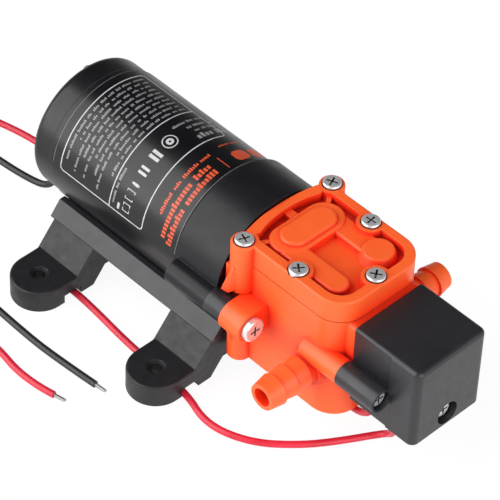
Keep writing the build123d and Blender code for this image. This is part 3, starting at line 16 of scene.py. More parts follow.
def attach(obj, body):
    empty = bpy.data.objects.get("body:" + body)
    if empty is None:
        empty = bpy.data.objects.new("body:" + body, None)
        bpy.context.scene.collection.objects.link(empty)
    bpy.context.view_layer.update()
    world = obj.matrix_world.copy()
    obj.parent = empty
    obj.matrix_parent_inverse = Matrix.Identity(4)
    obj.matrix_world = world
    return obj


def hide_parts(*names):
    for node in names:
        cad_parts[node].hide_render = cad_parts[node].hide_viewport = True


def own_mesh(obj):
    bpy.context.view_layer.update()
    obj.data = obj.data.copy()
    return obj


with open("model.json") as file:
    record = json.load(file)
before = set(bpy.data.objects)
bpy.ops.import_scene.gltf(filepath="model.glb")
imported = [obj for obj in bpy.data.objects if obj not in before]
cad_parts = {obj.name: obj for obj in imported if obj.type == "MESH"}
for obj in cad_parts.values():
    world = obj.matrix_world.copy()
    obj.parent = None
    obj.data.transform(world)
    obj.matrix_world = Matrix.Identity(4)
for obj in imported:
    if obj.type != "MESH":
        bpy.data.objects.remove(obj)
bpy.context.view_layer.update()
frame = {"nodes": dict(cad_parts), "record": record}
nodes = frame["nodes"]
MM = 0.001

# %% [markdown]
# ## The camera
# The photographer stood well back and used a long lens, at about forty-four
# degrees round from the side and forty-four up. A long lens far away keeps
# parallel edges nearly parallel. The place and the small roll were fitted to
# corners of the pump, so the camera is built from those three facts.

# %% Place the camera
camera_place = Vector((0.4759, -0.4909, 0.7064))
camera_aim = Vector((-0.00276, -0.00165, 0.03394))
camera_roll = math.radians(2.61)
ahead = (camera_aim - camera_place).normalized()
level = ahead.cross(Vector((0, 0, 1))).normalized()
above = level.cross(ahead)
picture_right = level * math.cos(camera_roll) + above * math.sin(camera_roll)
picture_up = above * math.cos(camera_roll) - level * math.sin(camera_roll)
lens = bpy.data.cameras.new("long_lens")
lens.sensor_width = 36
lens.lens = 218.95
lens.clip_start = 0.05
lens.clip_end = 20
camera = bpy.data.objects.new("camera", lens)
turned = Matrix((picture_right, picture_up, -ahead)).transposed().to_4x4()
camera.matrix_world = Matrix.Translation(camera_place) @ turned
bpy.context.scene.collection.objects.link(camera)
bpy.context.scene.camera = camera
print("camera", round((camera_aim - camera_place).length, 3), "m away")

# %% [markdown]
# ## Wires
# A loose wire is a length of soft plastic over copper strands. It lies in
# slow curves, because it is too stiff to kink and too limp to stand. A NURBS
# curve gives that: its points pull the line towards them and it never
# turns sharply. The points are the stations of the wire's route over the
# floor, in millimetres, and a round bevel gives the insulation its
# thickness. The real radius is kept on the points, with a bevel of one,
# because Blender sizes the box round a curve by the radius of its points.

# %% Make the three wires
WIRE_RADIUS = 1.2 * MM
black_route = [(-73.3, -6.0, 20.4), (-87.0, -6.0, 20.4), (-91.2, -7.0, 1.3),
               (-103.5, -10.4, 1.3), (-127.0, -12.0, 1.3), (-146.0, -24.0, 1.3),
               (-146.0, -47.0, 1.3), (-127.0, -58.2, 1.3), (-83.0, -56.6, 1.3),
               (-46.0, -58.2, 1.3), (-30.0, -57.6, 1.3), (-14.9, -56.2, 1.3)]
red_route = [(67.0, -8.2, 24.3), (68.0, -5.6, 8.6), (61.0, -3.0, 1.3),
             (54.0, -15.6, 1.3), (47.0, -26.0, 1.3), (36.0, -36.8, 1.3),
             (21.0, -42.0, 1.3), (6.0, -37.0, 1.3), (-17.8, -37.0, 1.3),
             (-48.6, -33.4, 1.3), (-66.5, -34.6, 1.3), (-71.8, -32.0, 1.3),
             (-73.4, -22.0, 1.3), (-76.5, -8.0, 1.3), (-86.0, 2.4, 1.3),
             (-101.0, 4.6, 1.3), (-118.0, 4.2, 1.3), (-143.0, -3.0, 1.3),
             (-163.0, -18.0, 1.3), (-169.0, -42.0, 1.3), (-157.0, -63.0, 1.3),
             (-133.0, -71.5, 1.3), (-90.0, -68.8, 1.3), (-50.0, -68.2, 1.3),
             (-32.0, -71.4, 1.3), (-20.3, -68.8, 1.3)]
link_route = [(61.0, -8.2, 24.3), (61.0, -8.2, 10.5), (42.0, -5.8, 5.0),
              (22.0, -5.6, 1.3), (-10.0, -6.4, 1.3), (-44.0, -5.4, 1.3),
              (-72.0, 2.0, 1.3), (-90.0, 14.0, 1.3), (-101.0, 11.0, 8.4),
              (-98.0, 7.0, 18.8), (-85.6, 6.0, 20.4), (-73.3, 6.0, 20.4)]


def make_wire(name, route, node):
    line = bpy.data.curves.new(name, "CURVE")
    line.dimensions = "3D"
    spline = line.splines.new("NURBS")
    spline.points.add(len(route) - 1)
    for point, place in zip(spline.points, route):
        point.co = (*(Vector(place) * MM), 1)
        point.radius = WIRE_RADIUS
    spline.order_u = 3
    spline.use_endpoint_u = True
    spline.resolution_u = 12
    line.bevel_depth = 1
    line.bevel_resolution = 5
    line.use_fill_caps = True
    wire = bpy.data.objects.new(name, line)
    bpy.context.scene.collection.objects.link(wire)
    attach(wire, "pump")
    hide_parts(node)
    return wire


black_wire = make_wire("black_wire", black_route, "black_lead")
red_wire = make_wire("red_wire", red_route, "red_lead")
bridge_wire = make_wire("bridge_wire", link_route, "link_wire")
print("wires", black_wire.name, red_wire.name, bridge_wire.name)

# %% [markdown]
# Each long wire ends bare, with its strands twisted and dipped in solder.
# Seven thin strands are swept round a common line, six outside and one in
# the middle, so the end shows the twist as fine slanting ridges. Towards
# the tip the strands gather a little.

# %% Helpers: one twisted strand, and a finished mesh
STRAND = 0.27 * MM
TWIST_PITCH = 3.2 * MM
GATHER_FROM = 0.6
GATHER_RATE = 0.45


def aside(side, lift, angle):
    return side * math.cos(angle) + lift * math.sin(angle)


def strand(bm, start, along, side, lift, ring, turn, length):
    loops = []
    steps, sides = 18, 8
    for step in range(steps + 1):
        run = length * step / steps
        angle = turn + 2 * math.pi * run / TWIST_PITCH
        gather = 1 - GATHER_RATE * max(0, step / steps - GATHER_FROM)
        middle = start + along * run + aside(side, lift, angle) * ring * gather
        loops.append([bm.verts.new(middle + aside(side, lift, 2 * math.pi * corner / sides)
                                   * STRAND) for corner in range(sides)])
    for one, two in zip(loops, loops[1:]):
        for corner in range(sides):
            after = (corner + 1) % sides
            bm.faces.new((one[corner], one[after], two[after], two[corner]))
    bm.faces.new(reversed(loops[0]))
    bm.faces.new(loops[-1])


def finish_mesh(name, bm, smooth=True):
    mesh = bpy.data.meshes.new(name)
    bmesh.ops.recalc_face_normals(bm, faces=bm.faces)
    bm.to_mesh(mesh)
    bm.free()
    for face in mesh.polygons:
        face.use_smooth = smooth
    piece = bpy.data.objects.new(name, mesh)
    bpy.context.scene.collection.objects.link(piece)
    return piece


print("strand helpers ready")

# %% Twist the bare ends
STRAND_RING = 0.38 * MM
TIP_LENGTH = 4.3 * MM
INSIDE_SLEEVE = 1.0 * MM


def make_tip(name, before, end):
    start = Vector(end) * MM
    along = (start - Vector(before) * MM).normalized()
    side = along.cross(Vector((0, 0, 1))).normalized()
    lift = side.cross(along)
    root = start - along * INSIDE_SLEEVE
    bm = bmesh.new()
    strand(bm, root, along, side, lift, 0, 0, TIP_LENGTH + INSIDE_SLEEVE)
    for number in range(6):
        strand(bm, root, along, side, lift, STRAND_RING,
               number * math.pi / 3, TIP_LENGTH + (0.6 + 0.1 * number) * MM)
    tip = finish_mesh(name, bm)
    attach(tip, "pump")
    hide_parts("lead_tips")
    return tip


black_tip = make_tip("black_wire_tip", black_route[-2], black_route[-1])
red_tip = make_tip("red_wire_tip", red_route[-2], red_route[-1])
print("tips", len(black_tip.data.polygons), "faces each")

# %% [markdown]
# ## How a finish is built
# Each finish is a Principled shader fed by noise in the pump's own metres.
# A wide, faint noise drifts the colour, as resin and paint do. A fine noise
# drives roughness and bump, which gives the surface its grain. On moulded
# parts a Bevel node rounds the shading of sharp edges, and the difference
# between the rounded and the true normal finds those edges, so they can be
# painted a shade paler: a painted highlight, as where light catches an edge.


# %% Helper: start a finish and feed its shader
def start_finish(name):
    finish = bpy.data.materials.new(name)
    finish.use_nodes = True
    tree = finish.node_tree
    place = tree.nodes.new("ShaderNodeTexCoord")
    return finish, tree, tree.nodes["Principled BSDF"], place.outputs["Object"]


def feed(tree, source, socket):
    # a socket takes another node's output, or a plain number or direction
    if isinstance(source, bpy.types.NodeSocket):
        tree.links.new(source, socket)
    else:
        socket.default_value = source


def dress(tree, shader, colour, roughness, normal):
    tree.links.new(colour, shader.inputs["Base Color"])
    tree.links.new(roughness, shader.inputs["Roughness"])
    tree.links.new(normal, shader.inputs["Normal"])


print("finish helpers ready")


# %% Helper: noise and what is made of it
def noise(tree, place, scale, detail=3.0, rough=0.5):
    grain = tree.nodes.new("ShaderNodeTexNoise")
    grain.inputs["Scale"].default_value = scale
    grain.inputs["Detail"].default_value = detail
    grain.inputs["Roughness"].default_value = rough
    tree.links.new(place, grain.inputs["Vector"])
    return grain.outputs["Fac"]


def ranged(tree, value, start, stop, low, high):
    # what goes from start to stop comes out going from low to high
    ramp = tree.nodes.new("ShaderNodeMapRange")
    for socket, number in (("From Min", start), ("From Max", stop),
                           ("To Min", low), ("To Max", high)):
        ramp.inputs[socket].default_value = number
    tree.links.new(value, ramp.inputs["Value"])
    return ramp.outputs["Result"]


def spread(tree, value, low, high):
    # noise stays mostly between 0.3 and 0.7
    return ranged(tree, value, 0.3, 0.7, low, high)


def shades(tree, value, *stops):
    ramp = tree.nodes.new("ShaderNodeValToRGB")
    ramp.color_ramp.elements[0].position = stops[0][0]
    ramp.color_ramp.elements[0].color = (*stops[0][1], 1)
    ramp.color_ramp.elements[1].position = stops[-1][0]
    ramp.color_ramp.elements[1].color = (*stops[-1][1], 1)
    for at, colour in stops[1:-1]:
        ramp.color_ramp.elements.new(at).color = (*colour, 1)
    tree.links.new(value, ramp.inputs["Fac"])
    return ramp.outputs["Color"]


def emboss(tree, value, depth, strength, normal=None):
    bump = tree.nodes.new("ShaderNodeBump")
    bump.inputs["Distance"].default_value = depth
    bump.inputs["Strength"].default_value = strength
    tree.links.new(value, bump.inputs["Height"])
    if normal is not None:
        tree.links.new(normal, bump.inputs["Normal"])
    return bump.outputs["Normal"]


print("noise helpers ready")


# %% Helper: soft edges, and masks for painted edge highlights and painted shade in recesses
def soft_edge(tree, radius):
    # the surface's direction as it would be with its sharp edges rounded
    bevel = tree.nodes.new("ShaderNodeBevel")
    bevel.samples = 6
    bevel.inputs["Radius"].default_value = radius
    return bevel.outputs["Normal"]


def agreement(tree, one, two):
    # the dot product: how far one points, or lies, the way that two points
    match = tree.nodes.new("ShaderNodeVectorMath")
    match.operation = "DOT_PRODUCT"
    feed(tree, one, match.inputs[0])
    feed(tree, two, match.inputs[1])
    return match.outputs["Value"]


def edge_share(tree, soft):
    # 1 on an edge, where the soft direction leaves the true one, and 0 on a flat
    true = tree.nodes.new("ShaderNodeNewGeometry")
    return ranged(tree, agreement(tree, soft, true.outputs["Normal"]), 0.995, 0.85, 0.0, 1.0)


def recess(tree, depth, shut, wide):
    # 1 in a recess as tight as shut, 0 in the open, where it is as free as wide
    # ambient occlusion, the mask for painted shade in recesses
    corner = tree.nodes.new("ShaderNodeAmbientOcclusion")
    corner.samples = 8
    corner.inputs["Distance"].default_value = depth
    return ranged(tree, corner.outputs["AO"], wide, shut, 0.0, 1.0)


def blended(tree, share, one, two):
    mix = tree.nodes.new("ShaderNodeMix")
    mix.data_type = "RGBA"
    tree.links.new(share, mix.inputs["Factor"])
    tree.links.new(one, mix.inputs["A"])
    tree.links.new(two, mix.inputs["B"])
    return mix.outputs["Result"]


print("edge helpers ready")


# %% [markdown]
# ## Moulded plastic
# The orange head and the black housings are glass-filled nylon from a
# sparked mould: a very fine even grain, a satin gloss, and a slow cloudiness
# where the melt flowed. One recipe serves all, with its own colours. In the
# orange's recesses the colour is painted deeper and redder, and darker still
# in the tightest ones: painted shade, standing for light that has gone from
# one orange wall to the next and for the shade there. Ambient occlusion finds
# these places.


# %% Moulded plastic recipe
def moulded(name, deep, plain, pale, gloss, grain, haze=0.5, corner=None):
    finish, tree, shader, place = start_finish(name)
    flow = noise(tree, place, scale=55, detail=4)
    body = shades(tree, flow, (0.3, deep), (0.55, plain), (0.75, plain))
    # painted highlight: the edges are painted a shade paler, in fine specks
    edge_highlight = shades(tree, noise(tree, place, scale=900, detail=2), (0.35, plain), (0.7, pale))
    soft = soft_edge(tree, radius=0.00035)
    colour = blended(tree, edge_share(tree, soft), body, edge_highlight)
    # painted shade: recesses are tinted a deeper red, and the tightest ones darker still
    if corner:
        red, green, blue = corner
        painted_recess_tint = shades(tree, flow, (0.3, corner), (0.7, tuple(1.08 * tone for tone in corner)))
        dark = shades(tree, flow, (0.3, (0.5 * red, 0.2 * green, blue)),
                      (0.7, (0.62 * red, 0.25 * green, blue)))
        colour = blended(tree, recess(tree, depth=0.011, shut=0.5, wide=0.95), colour, painted_recess_tint)
        colour = blended(tree, recess(tree, depth=0.005, shut=0.12, wide=0.5), colour, dark)
    sheen = noise(tree, place, scale=260, detail=5, rough=0.6)
    texture = noise(tree, place, scale=4200)
    dress(tree, shader, colour, spread(tree, sheen, gloss - 0.05, gloss + 0.07),
          emboss(tree, texture, depth=0.00004, strength=grain, normal=soft))
    shader.inputs["Specular IOR Level"].default_value = haze
    return finish


# corner: the tone of the painted shade in the orange's recesses
orange_plastic = moulded("orange_moulded_nylon", deep=(0.97, 0.113, 0.019),
                         plain=(1.0, 0.134, 0.025), pale=(1.0, 0.26, 0.09),
                         gloss=0.4, grain=0.2, haze=0.44, corner=(0.9, 0.036, 0.005))
black_plastic = moulded("black_moulded_nylon", deep=(0.016, 0.0155, 0.018),
                        plain=(0.02, 0.0195, 0.023), pale=(0.05, 0.05, 0.056),
                        gloss=0.36, grain=0.3)
housing_plastic = moulded("housing_moulded_nylon", deep=(0.007, 0.007, 0.0085),
                          plain=(0.010, 0.0097, 0.012), pale=(0.045, 0.045, 0.05),
                          gloss=0.34, grain=0.25, haze=0.28)
inner_plastic = moulded("white_acetal", deep=(0.62, 0.6, 0.55), plain=(0.7, 0.68, 0.63),
                        pale=(0.8, 0.79, 0.75), gloss=0.35, grain=0.15)
print("moulded", orange_plastic.name, black_plastic.name, inner_plastic.name)

# %% [markdown]
# ## Paint and label film
# The motor's steel can has a baked black enamel, a little wavy like orange
# peel. The label is a printed film with a clear top layer: smoother than
# the paint, with the faint waves of film laid on by hand.

# %% Paint
can_paint, tree, shader, place = start_finish("baked_black_enamel")
enamel = shades(tree, noise(tree, place, scale=70), (0.3, (0.006, 0.006, 0.007)),
                (0.7, (0.010, 0.010, 0.012)))
# painted highlight: the can's edges are painted paler
painted_edge_highlight = shades(tree, noise(tree, place, scale=700), (0.3, (0.03, 0.03, 0.03)),
                (0.7, (0.06, 0.06, 0.065)))
soft = soft_edge(tree, radius=0.0004)
dress(tree, shader, blended(tree, edge_share(tree, soft), enamel, painted_edge_highlight),
      spread(tree, noise(tree, place, scale=300), 0.26, 0.36),
      emboss(tree, noise(tree, place, scale=900, detail=1), depth=0.00006, strength=0.2,
             normal=soft))
shader.inputs["Specular IOR Level"].default_value = 0.38
print("paint", can_paint.name)

# %% Label film
label_film, tree, shader, place = start_finish("printed_label_film")
film = shades(tree, noise(tree, place, scale=40), (0.3, (0.003, 0.003, 0.004)),
              (0.7, (0.005, 0.005, 0.0065)))
dress(tree, shader, film, spread(tree, noise(tree, place, scale=120, detail=4), 0.28, 0.38),
      emboss(tree, noise(tree, place, scale=160, detail=2), depth=0.0002, strength=0.12))
shader.inputs["Specular IOR Level"].default_value = 0.34
shader.inputs["Coat Weight"].default_value = 0.16
shader.inputs["Coat Roughness"].default_value = 0.18
print("film", label_film.name)


# %% [markdown]
# ## Rubber
# The feet and the seals are soft black rubber. Rubber scatters light more
# than hard plastic, and its mould leaves a coarser, duller skin with a
# trace of dust.


# %% Rubber recipe
def rubber(name, deep, dusty, rough, grain):
    finish, tree, shader, place = start_finish(name)
    skin = shades(tree, noise(tree, place, scale=90, detail=5, rough=0.6),
                  (0.3, deep), (0.75, dusty))
    # painted highlight: the edges are painted paler
    painted_edge_highlight = shades(tree, noise(tree, place, scale=500), (0.3, dusty),
                    (0.7, tuple(2.2 * tone for tone in dusty)))
    soft = soft_edge(tree, radius=0.0005)
    sheen = noise(tree, place, scale=350, detail=4)
    texture = noise(tree, place, scale=2600, detail=4, rough=0.6)
    dress(tree, shader, blended(tree, edge_share(tree, soft), skin, painted_edge_highlight),
          spread(tree, sheen, rough - 0.06, rough + 0.08),
          emboss(tree, texture, depth=0.00007, strength=grain, normal=soft))
    return finish


foot_rubber = rubber("foot_rubber", deep=(0.006, 0.0058, 0.0075),
                     dusty=(0.010, 0.0098, 0.012), rough=0.5, grain=0.25)
seal_rubber = rubber("seal_rubber", deep=(0.008, 0.008, 0.009),
                     dusty=(0.014, 0.014, 0.014), rough=0.62, grain=0.2)
print("rubber", foot_rubber.name, seal_rubber.name)


# %% [markdown]
# ## Metal
# Plated screws are bright with tiny scratches, and their recesses are
# painted dark as painted shade; bearing steel is ground, so its marks run
# round the shaft; the armature is a stack of thin sheets and shows them as
# lines; copper windings are lines of enamelled wire. A wave texture draws the lines.


# %% Metal recipe
def metal(name, dark, bright, rough, lines=0, depth=0.2, metallic=1.0, axis="X", shade_reach=0):
    # lines: how close the lines are, or 0 for scratches; the last argument: how deep the painted
    # shade in recesses reaches
    finish, tree, shader, place = start_finish(name)
    cloud = noise(tree, place, scale=420, detail=4, rough=0.6)
    colour = shades(tree, cloud, (0.3, dark), (0.7, bright))
    # painted shade: recesses are darkened where ambient occlusion finds them
    if shade_reach:
        painted_recess_shade = shades(tree, cloud, (0.3, (0.01, 0.01, 0.01)), (0.7, (0.03, 0.03, 0.03)))
        colour = blended(tree, recess(tree, shade_reach, shut=0.45, wide=0.8), colour, painted_recess_shade)
    if lines:
        wave = tree.nodes.new("ShaderNodeTexWave")
        wave.bands_direction = axis
        wave.inputs["Scale"].default_value = lines
        wave.inputs["Distortion"].default_value = 0.6
        tree.links.new(place, wave.inputs["Vector"])
        mark = wave.outputs["Fac"]
    else:
        mark = noise(tree, place, scale=2200, detail=4)
    dress(tree, shader, colour,
          spread(tree, noise(tree, place, scale=1500), rough - 0.05, rough + 0.08),
          emboss(tree, mark, 0.00003, depth, soft_edge(tree, radius=0.00012)))
    shader.inputs["Metallic"].default_value = metallic
    return finish


screw_metal = metal("bright_zinc_plate", (0.7, 0.7, 0.71), (0.86, 0.86, 0.87), rough=0.2,
                    depth=0.05, metallic=0.62, shade_reach=0.0011)
bearing_steel = metal("ground_bearing_steel", (0.5, 0.5, 0.5), (0.66, 0.66, 0.66), rough=0.22,
                      lines=2600)
core_steel = metal("stacked_core_steel", (0.16, 0.16, 0.17), (0.26, 0.26, 0.27), rough=0.42,
                   lines=1000, depth=0.6)
copper_metal = metal("wound_copper", (0.6, 0.22, 0.1), (0.78, 0.33, 0.16), rough=0.3,
                     lines=1400, depth=0.6, axis="Y")
bronze_metal = metal("sintered_bronze", (0.42, 0.25, 0.1), (0.58, 0.38, 0.17), rough=0.4)
tinned_metal = metal("tinned_strands", (0.3, 0.29, 0.28), (0.5, 0.49, 0.47), rough=0.34,
                     depth=0.05)
carbon_block = metal("brush_carbon", (0.02, 0.02, 0.021), (0.05, 0.05, 0.052), rough=0.5,
                     depth=0.3, metallic=0.2)
print("metals ready")


# %% [markdown]
# ## Wire insulation
# Soft vinyl over copper is glossy, slightly see-through at its skin, and
# carries faint marks from the die that it was drawn through.


# %% Insulation recipe
def vinyl(name, deep, bright):
    finish, tree, shader, place = start_finish(name)
    dress(tree, shader,
          shades(tree, noise(tree, place, scale=120, detail=4), (0.3, deep), (0.7, bright)),
          spread(tree, noise(tree, place, scale=500), 0.3, 0.42),
          emboss(tree, noise(tree, place, scale=1800, detail=2), depth=0.00004, strength=0.25))
    shader.inputs["Subsurface Weight"].default_value = 0.08
    shader.inputs["Subsurface Scale"].default_value = 0.0006
    return finish


red_vinyl = vinyl("red_vinyl", deep=(0.6, 0.012, 0.035), bright=(0.74, 0.022, 0.055))
black_vinyl = vinyl("black_vinyl", deep=(0.010, 0.010, 0.011), bright=(0.02, 0.02, 0.022))
print("vinyl", red_vinyl.name, black_vinyl.name)

# %% [markdown]
# ## Dressing the CAD nodes
# The record names a material slot for every node, so one table from slot to
# finish dresses the whole pump, the parts inside included.

# %% Give every node its finish
finish_of_slot = {
    "orange_plastic": orange_plastic, "black_plastic": black_plastic,
    "black_paint": can_paint, "label_film": label_film, "rubber_feet": foot_rubber,
    "inner_plastic": inner_plastic, "soft_rubber": seal_rubber,
    "bright_screws": screw_metal, "bearing_steel": bearing_steel,
    "core_steel": core_steel, "copper": copper_metal, "bronze": bronze_metal,
    "carbon": carbon_block, "red_insulation": red_vinyl,
    "black_insulation": black_vinyl, "tinned_copper": tinned_metal,
}
for entry in frame["record"]["subparts"]:
    carrier = nodes[entry["node"]]
    carrier.data.materials.clear()
    carrier.data.materials.append(finish_of_slot[entry["material_slot"]])
nodes["front_housing"].data.materials[0] = housing_plastic
for wire, finish, slot in ((black_wire, black_vinyl, "black_insulation"),
                           (red_wire, red_vinyl, "red_insulation"),
                           (bridge_wire, red_vinyl, "red_insulation"),
                           (black_tip, tinned_metal, "tinned_copper"),
                           (red_tip, tinned_metal, "tinned_copper")):
    wire.data.materials.append(finish)

# %% [markdown]
# ## The plunger spring
# When the plunger of the pressure switch moves, by one millimetre, its coil
# spring gets shorter while its far end stays where it is. A copy of the
# spring's mesh, with a mesh of its own, takes the spring's place.

# %% Copy the plunger spring
coil = bpy.data.objects.new("coil_of_plunger", nodes["plunger_spring"].data.copy())
coil.matrix_world = nodes["plunger_spring"].matrix_world.copy()
bpy.context.scene.collection.objects.link(coil)
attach(coil, "pump")
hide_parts("plunger_spring")
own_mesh(coil)

# %% [markdown]
# ## Print on the label
# The film is printed in white and orange: a thin frame, columns of small
# lines and a block of larger ones. Here the words are runs of plain bars.
# Each bar is a thin curved patch that hugs the film, and a long one is cut
# into short steps so it bends with the motor. Places along the motor are in
# millimetres. Angles start at the left side and go over the top.

# %% Helpers for curved print
AXIS_HEIGHT = 35.4
PRINT_RADIUS = 24.33
DEGREES_PER_MM = 57.3 / 24.3
BEND_STEP = 3


def on_film(x, angle):
    turn = math.radians(angle)
    return Vector((x * MM, PRINT_RADIUS * MM * math.cos(turn),
                   AXIS_HEIGHT * MM + PRINT_RADIUS * MM * math.sin(turn)))


def print_patch(bm, corners, steps=1):
    # corners: four (x, angle) pairs in order; steps cut the long way of the strip
    (xa, aa), (xb, ab), (xc, ac), (xd, ad) = corners
    last = None
    for step in range(steps + 1):
        share = step / steps
        one = bm.verts.new(on_film(xa + (xd - xa) * share, aa + (ad - aa) * share))
        two = bm.verts.new(on_film(xb + (xc - xb) * share, ab + (ac - ab) * share))
        if last:
            bm.faces.new((last[0], last[1], two, one))
        last = (one, two)


def print_bar(bm, x, width, start, end):
    # a bar along the circumference, with softly cut ends
    steps = max(2, round(abs(end - start) / BEND_STEP))
    bevel = 0.25 * width * DEGREES_PER_MM * (1 if end > start else -1)
    low, high = x - width / 2, x + width / 2
    cut = width * 0.22
    print_patch(bm, ((low + cut, start), (high - cut, start),
                     (high, start + bevel), (low, start + bevel)))
    print_patch(bm, ((low, start + bevel), (high, start + bevel),
                     (high, end - bevel), (low, end - bevel)), steps)
    print_patch(bm, ((low, end - bevel), (high, end - bevel),
                     (high - cut, end), (low + cut, end)))


def close_strip(bm, rims):
    for one, two in zip(rims, rims[1:] + rims[:1]):
        bm.faces.new((one[0], one[1], two[1], two[0]))


print("print helpers ready")


# %% Print the frame lines
def print_frame(name, rear, front, low, high, corner, width):
    # a rounded rectangle drawn as one thin closed line
    stations = []
    turned = corner * DEGREES_PER_MM
    for centre_x, centre_a, quarter in ((front - corner, high + turned, 0),
                                        (rear + corner, high + turned, 1),
                                        (rear + corner, low - turned, 2),
                                        (front - corner, low - turned, 3)):
        for step in range(7):
            turn = math.pi / 2 * (quarter + step / 6)
            stations.append((centre_x + corner * math.cos(turn),
                             centre_a - turned * math.sin(turn), math.cos(turn), math.sin(turn)))
    line = []
    for one, two in zip(stations, stations[1:] + stations[:1]):
        pieces = max(1, round(abs(two[1] - one[1]) / BEND_STEP))
        for piece in range(pieces):
            share = piece / pieces
            line.append(tuple(a + (b - a) * share for a, b in zip(one, two)))
    bm = bmesh.new()
    rims = []
    for x, angle, cosine, sine in line:
        half = width / 2 / max(math.hypot(cosine, sine), 1e-6)
        across_x, across_a = cosine * half, -sine * half * DEGREES_PER_MM
        rims.append((bm.verts.new(on_film(x - across_x, angle - across_a)),
                     bm.verts.new(on_film(x + across_x, angle + across_a))))
    close_strip(bm, rims)
    return finish_mesh(name, bm)


frame_line = print_frame("label_frame_line", rear=-67.6, front=-29.0, low=173.5, high=61.0,
                         corner=1.4, width=0.42)
bm = bmesh.new()
print_bar(bm, -44.3, 0.42, 173.3, 61.2)
divider_line = finish_mesh("label_divider_line", bm)
print("frame line", len(frame_line.data.polygons), "faces")

# %% [markdown]
# The rows of small print differ in length, as real text does, and so do the
# bars in height. Two seeded random rows pick them, so every run prints the
# same label.

# %% Helpers for rows of words
WORD_GAP = 1.9
SHORTEST_WORD = 1.2
BAR_PITCH = 1.42
LOW_SHARE = 0.68
LOW_HEIGHT = 0.72
word_lengths = random.Random(7)
tallness = random.Random(11)


def print_strokes(bm, x, height, start, end, stroke):
    # a word as a run of small upright bars, some of them taller than others
    width = stroke * DEGREES_PER_MM
    place = start
    while place + width <= end + 0.1:
        size = height * (1.0 if tallness.random() > LOW_SHARE else LOW_HEIGHT)
        low, high = x + height / 2 - size, x + height / 2
        print_patch(bm, ((low, place), (high, place), (high, place + width),
                         (low, place + width)))
        place += width * BAR_PITCH


def print_words(bm, x, height, start, end, pattern, stroke):
    # one row of words from start to end, in degrees round the motor
    place = start
    for word in pattern:
        stop = min(place + word, end)
        if stop - place > SHORTEST_WORD:
            print_strokes(bm, x, height, place, stop, stroke)
        place = stop + WORD_GAP
        if place >= end:
            break


print("row helpers ready")

# %% Print the white rows
FIRST_ROW = -46.3
ROW_PITCH = 2.15
ROW_HEIGHT = 0.98
ROW_START = 66
FINE_STROKE = 0.46
bm = bmesh.new()
for number, row_end in enumerate((150, 139, 168, 160, 146, 167, 155, 168, 142, 164)):
    pattern = [word_lengths.uniform(3.5, 12) for word in range(14)]
    print_words(bm, FIRST_ROW - ROW_PITCH * number, ROW_HEIGHT,
                ROW_START + word_lengths.uniform(0, 3), row_end, pattern, FINE_STROKE)
# each row: place along the motor, height, first and last angle, words, bar width
for row in ((-42.9, 1.0, 138, 168.5, (11, 4.5, 12), FINE_STROKE),
            (-32.3, 2.3, 54, 85, (13, 16), 1.2),
            (-35.3, 1.1, 58, 80, (9, 5, 6), FINE_STROKE),
            (-37.6, 1.1, 56, 84, (7, 12, 6), FINE_STROKE),
            (-40.4, 1.2, 62, 92, (8, 6, 12), FINE_STROKE)):
    print_words(bm, *row)
white_rows = finish_mesh("label_white_rows", bm)
print("white rows", len(white_rows.data.polygons), "faces")


# %% Print the plain marks
def print_ring(bm, x, angle, radius, width, sides=28):
    # a plain ring; with four sides it is a square
    rims = []
    for side in range(sides):
        turn = 2 * math.pi * side / sides + math.pi / 4
        rims.append([bm.verts.new(on_film(x + reach * math.cos(turn),
                                          angle + reach * math.sin(turn) * DEGREES_PER_MM))
                     for reach in (radius - width / 2, radius + width / 2)])
    close_strip(bm, rims)


bm = bmesh.new()
print_ring(bm, -36.8, 102.0, radius=2.5, width=0.4)
print_ring(bm, -36.8, 102.0, radius=0.9, width=0.9)
for place, size in ((115.2, 4.2), (119.6, 4.2), (129.6, 3.6), (134.0, 3.6), (143.8, 3.2)):
    print_bar(bm, -36.6, size, place - 1.1, place + 1.1)
print_ring(bm, -37.0, 153.4, radius=2.3, width=0.4, sides=4)
print_ring(bm, -37.0, 164.6, radius=2.0, width=0.4, sides=4)
print_bar(bm, -40.3, 1.0, 164.6, 170.2)
plain_marks = finish_mesh("label_plain_marks", bm)
print("marks", len(plain_marks.data.polygons), "faces")


# %% Print the orange rows
def print_rule(bm, x_start, x_end, angle, width):
    # a thin line along the motor
    half = width / 2 * DEGREES_PER_MM
    print_patch(bm, ((x_start, angle - half), (x_start, angle + half),
                     (x_end, angle + half), (x_end, angle - half)), 4)


bm = bmesh.new()
for row in ((-17.0, 2.3, 98.6, 168.6, (37, 31), 0.95),
            (-20.2, 2.3, 98.9, 168.6, (18, 51), 0.95),
            (-23.6, 1.3, 91.0, 150.5, (10, 17, 9, 20), 0.6),
            (-24.9, 0.9, 58.0, 80.0, (9, 11), FINE_STROKE)):
    print_words(bm, *row)
for start in (46.0, 63.5):
    print_bar(bm, -18.2, 5.0, start, start + 14.5)
print_rule(bm, -21.0, -15.2, 89.2, 0.35)
orange_rows = finish_mesh("label_orange_rows", bm)
bm = bmesh.new()
# painted highlight: thin grey lines where the label's front and rear edges catch light
print_bar(bm, -13.75, 0.22, 172, 58)
print_bar(bm, -71.05, 0.18, 172, 58)
edge_lines = finish_mesh("label_edge_lines", bm)
print("orange rows", len(orange_rows.data.polygons), "faces")


# %% [markdown]
# Printing ink sits thinly on the film: its colour thins out in tiny
# specks, and it is a little duller than the clear layer round it. The small
# rows are the thinnest, so their white is greyer.


# %% Ink
def ink(name, thin, full):
    finish, tree, shader, place = start_finish(name)
    specks = noise(tree, place, scale=2400, detail=4, rough=0.6)
    dress(tree, shader, shades(tree, specks, (0.3, thin), (0.5, full)),
          spread(tree, noise(tree, place, scale=600, detail=2), 0.38, 0.5),
          emboss(tree, noise(tree, place, scale=1500, detail=2), depth=0.00003, strength=0.15))
    return finish


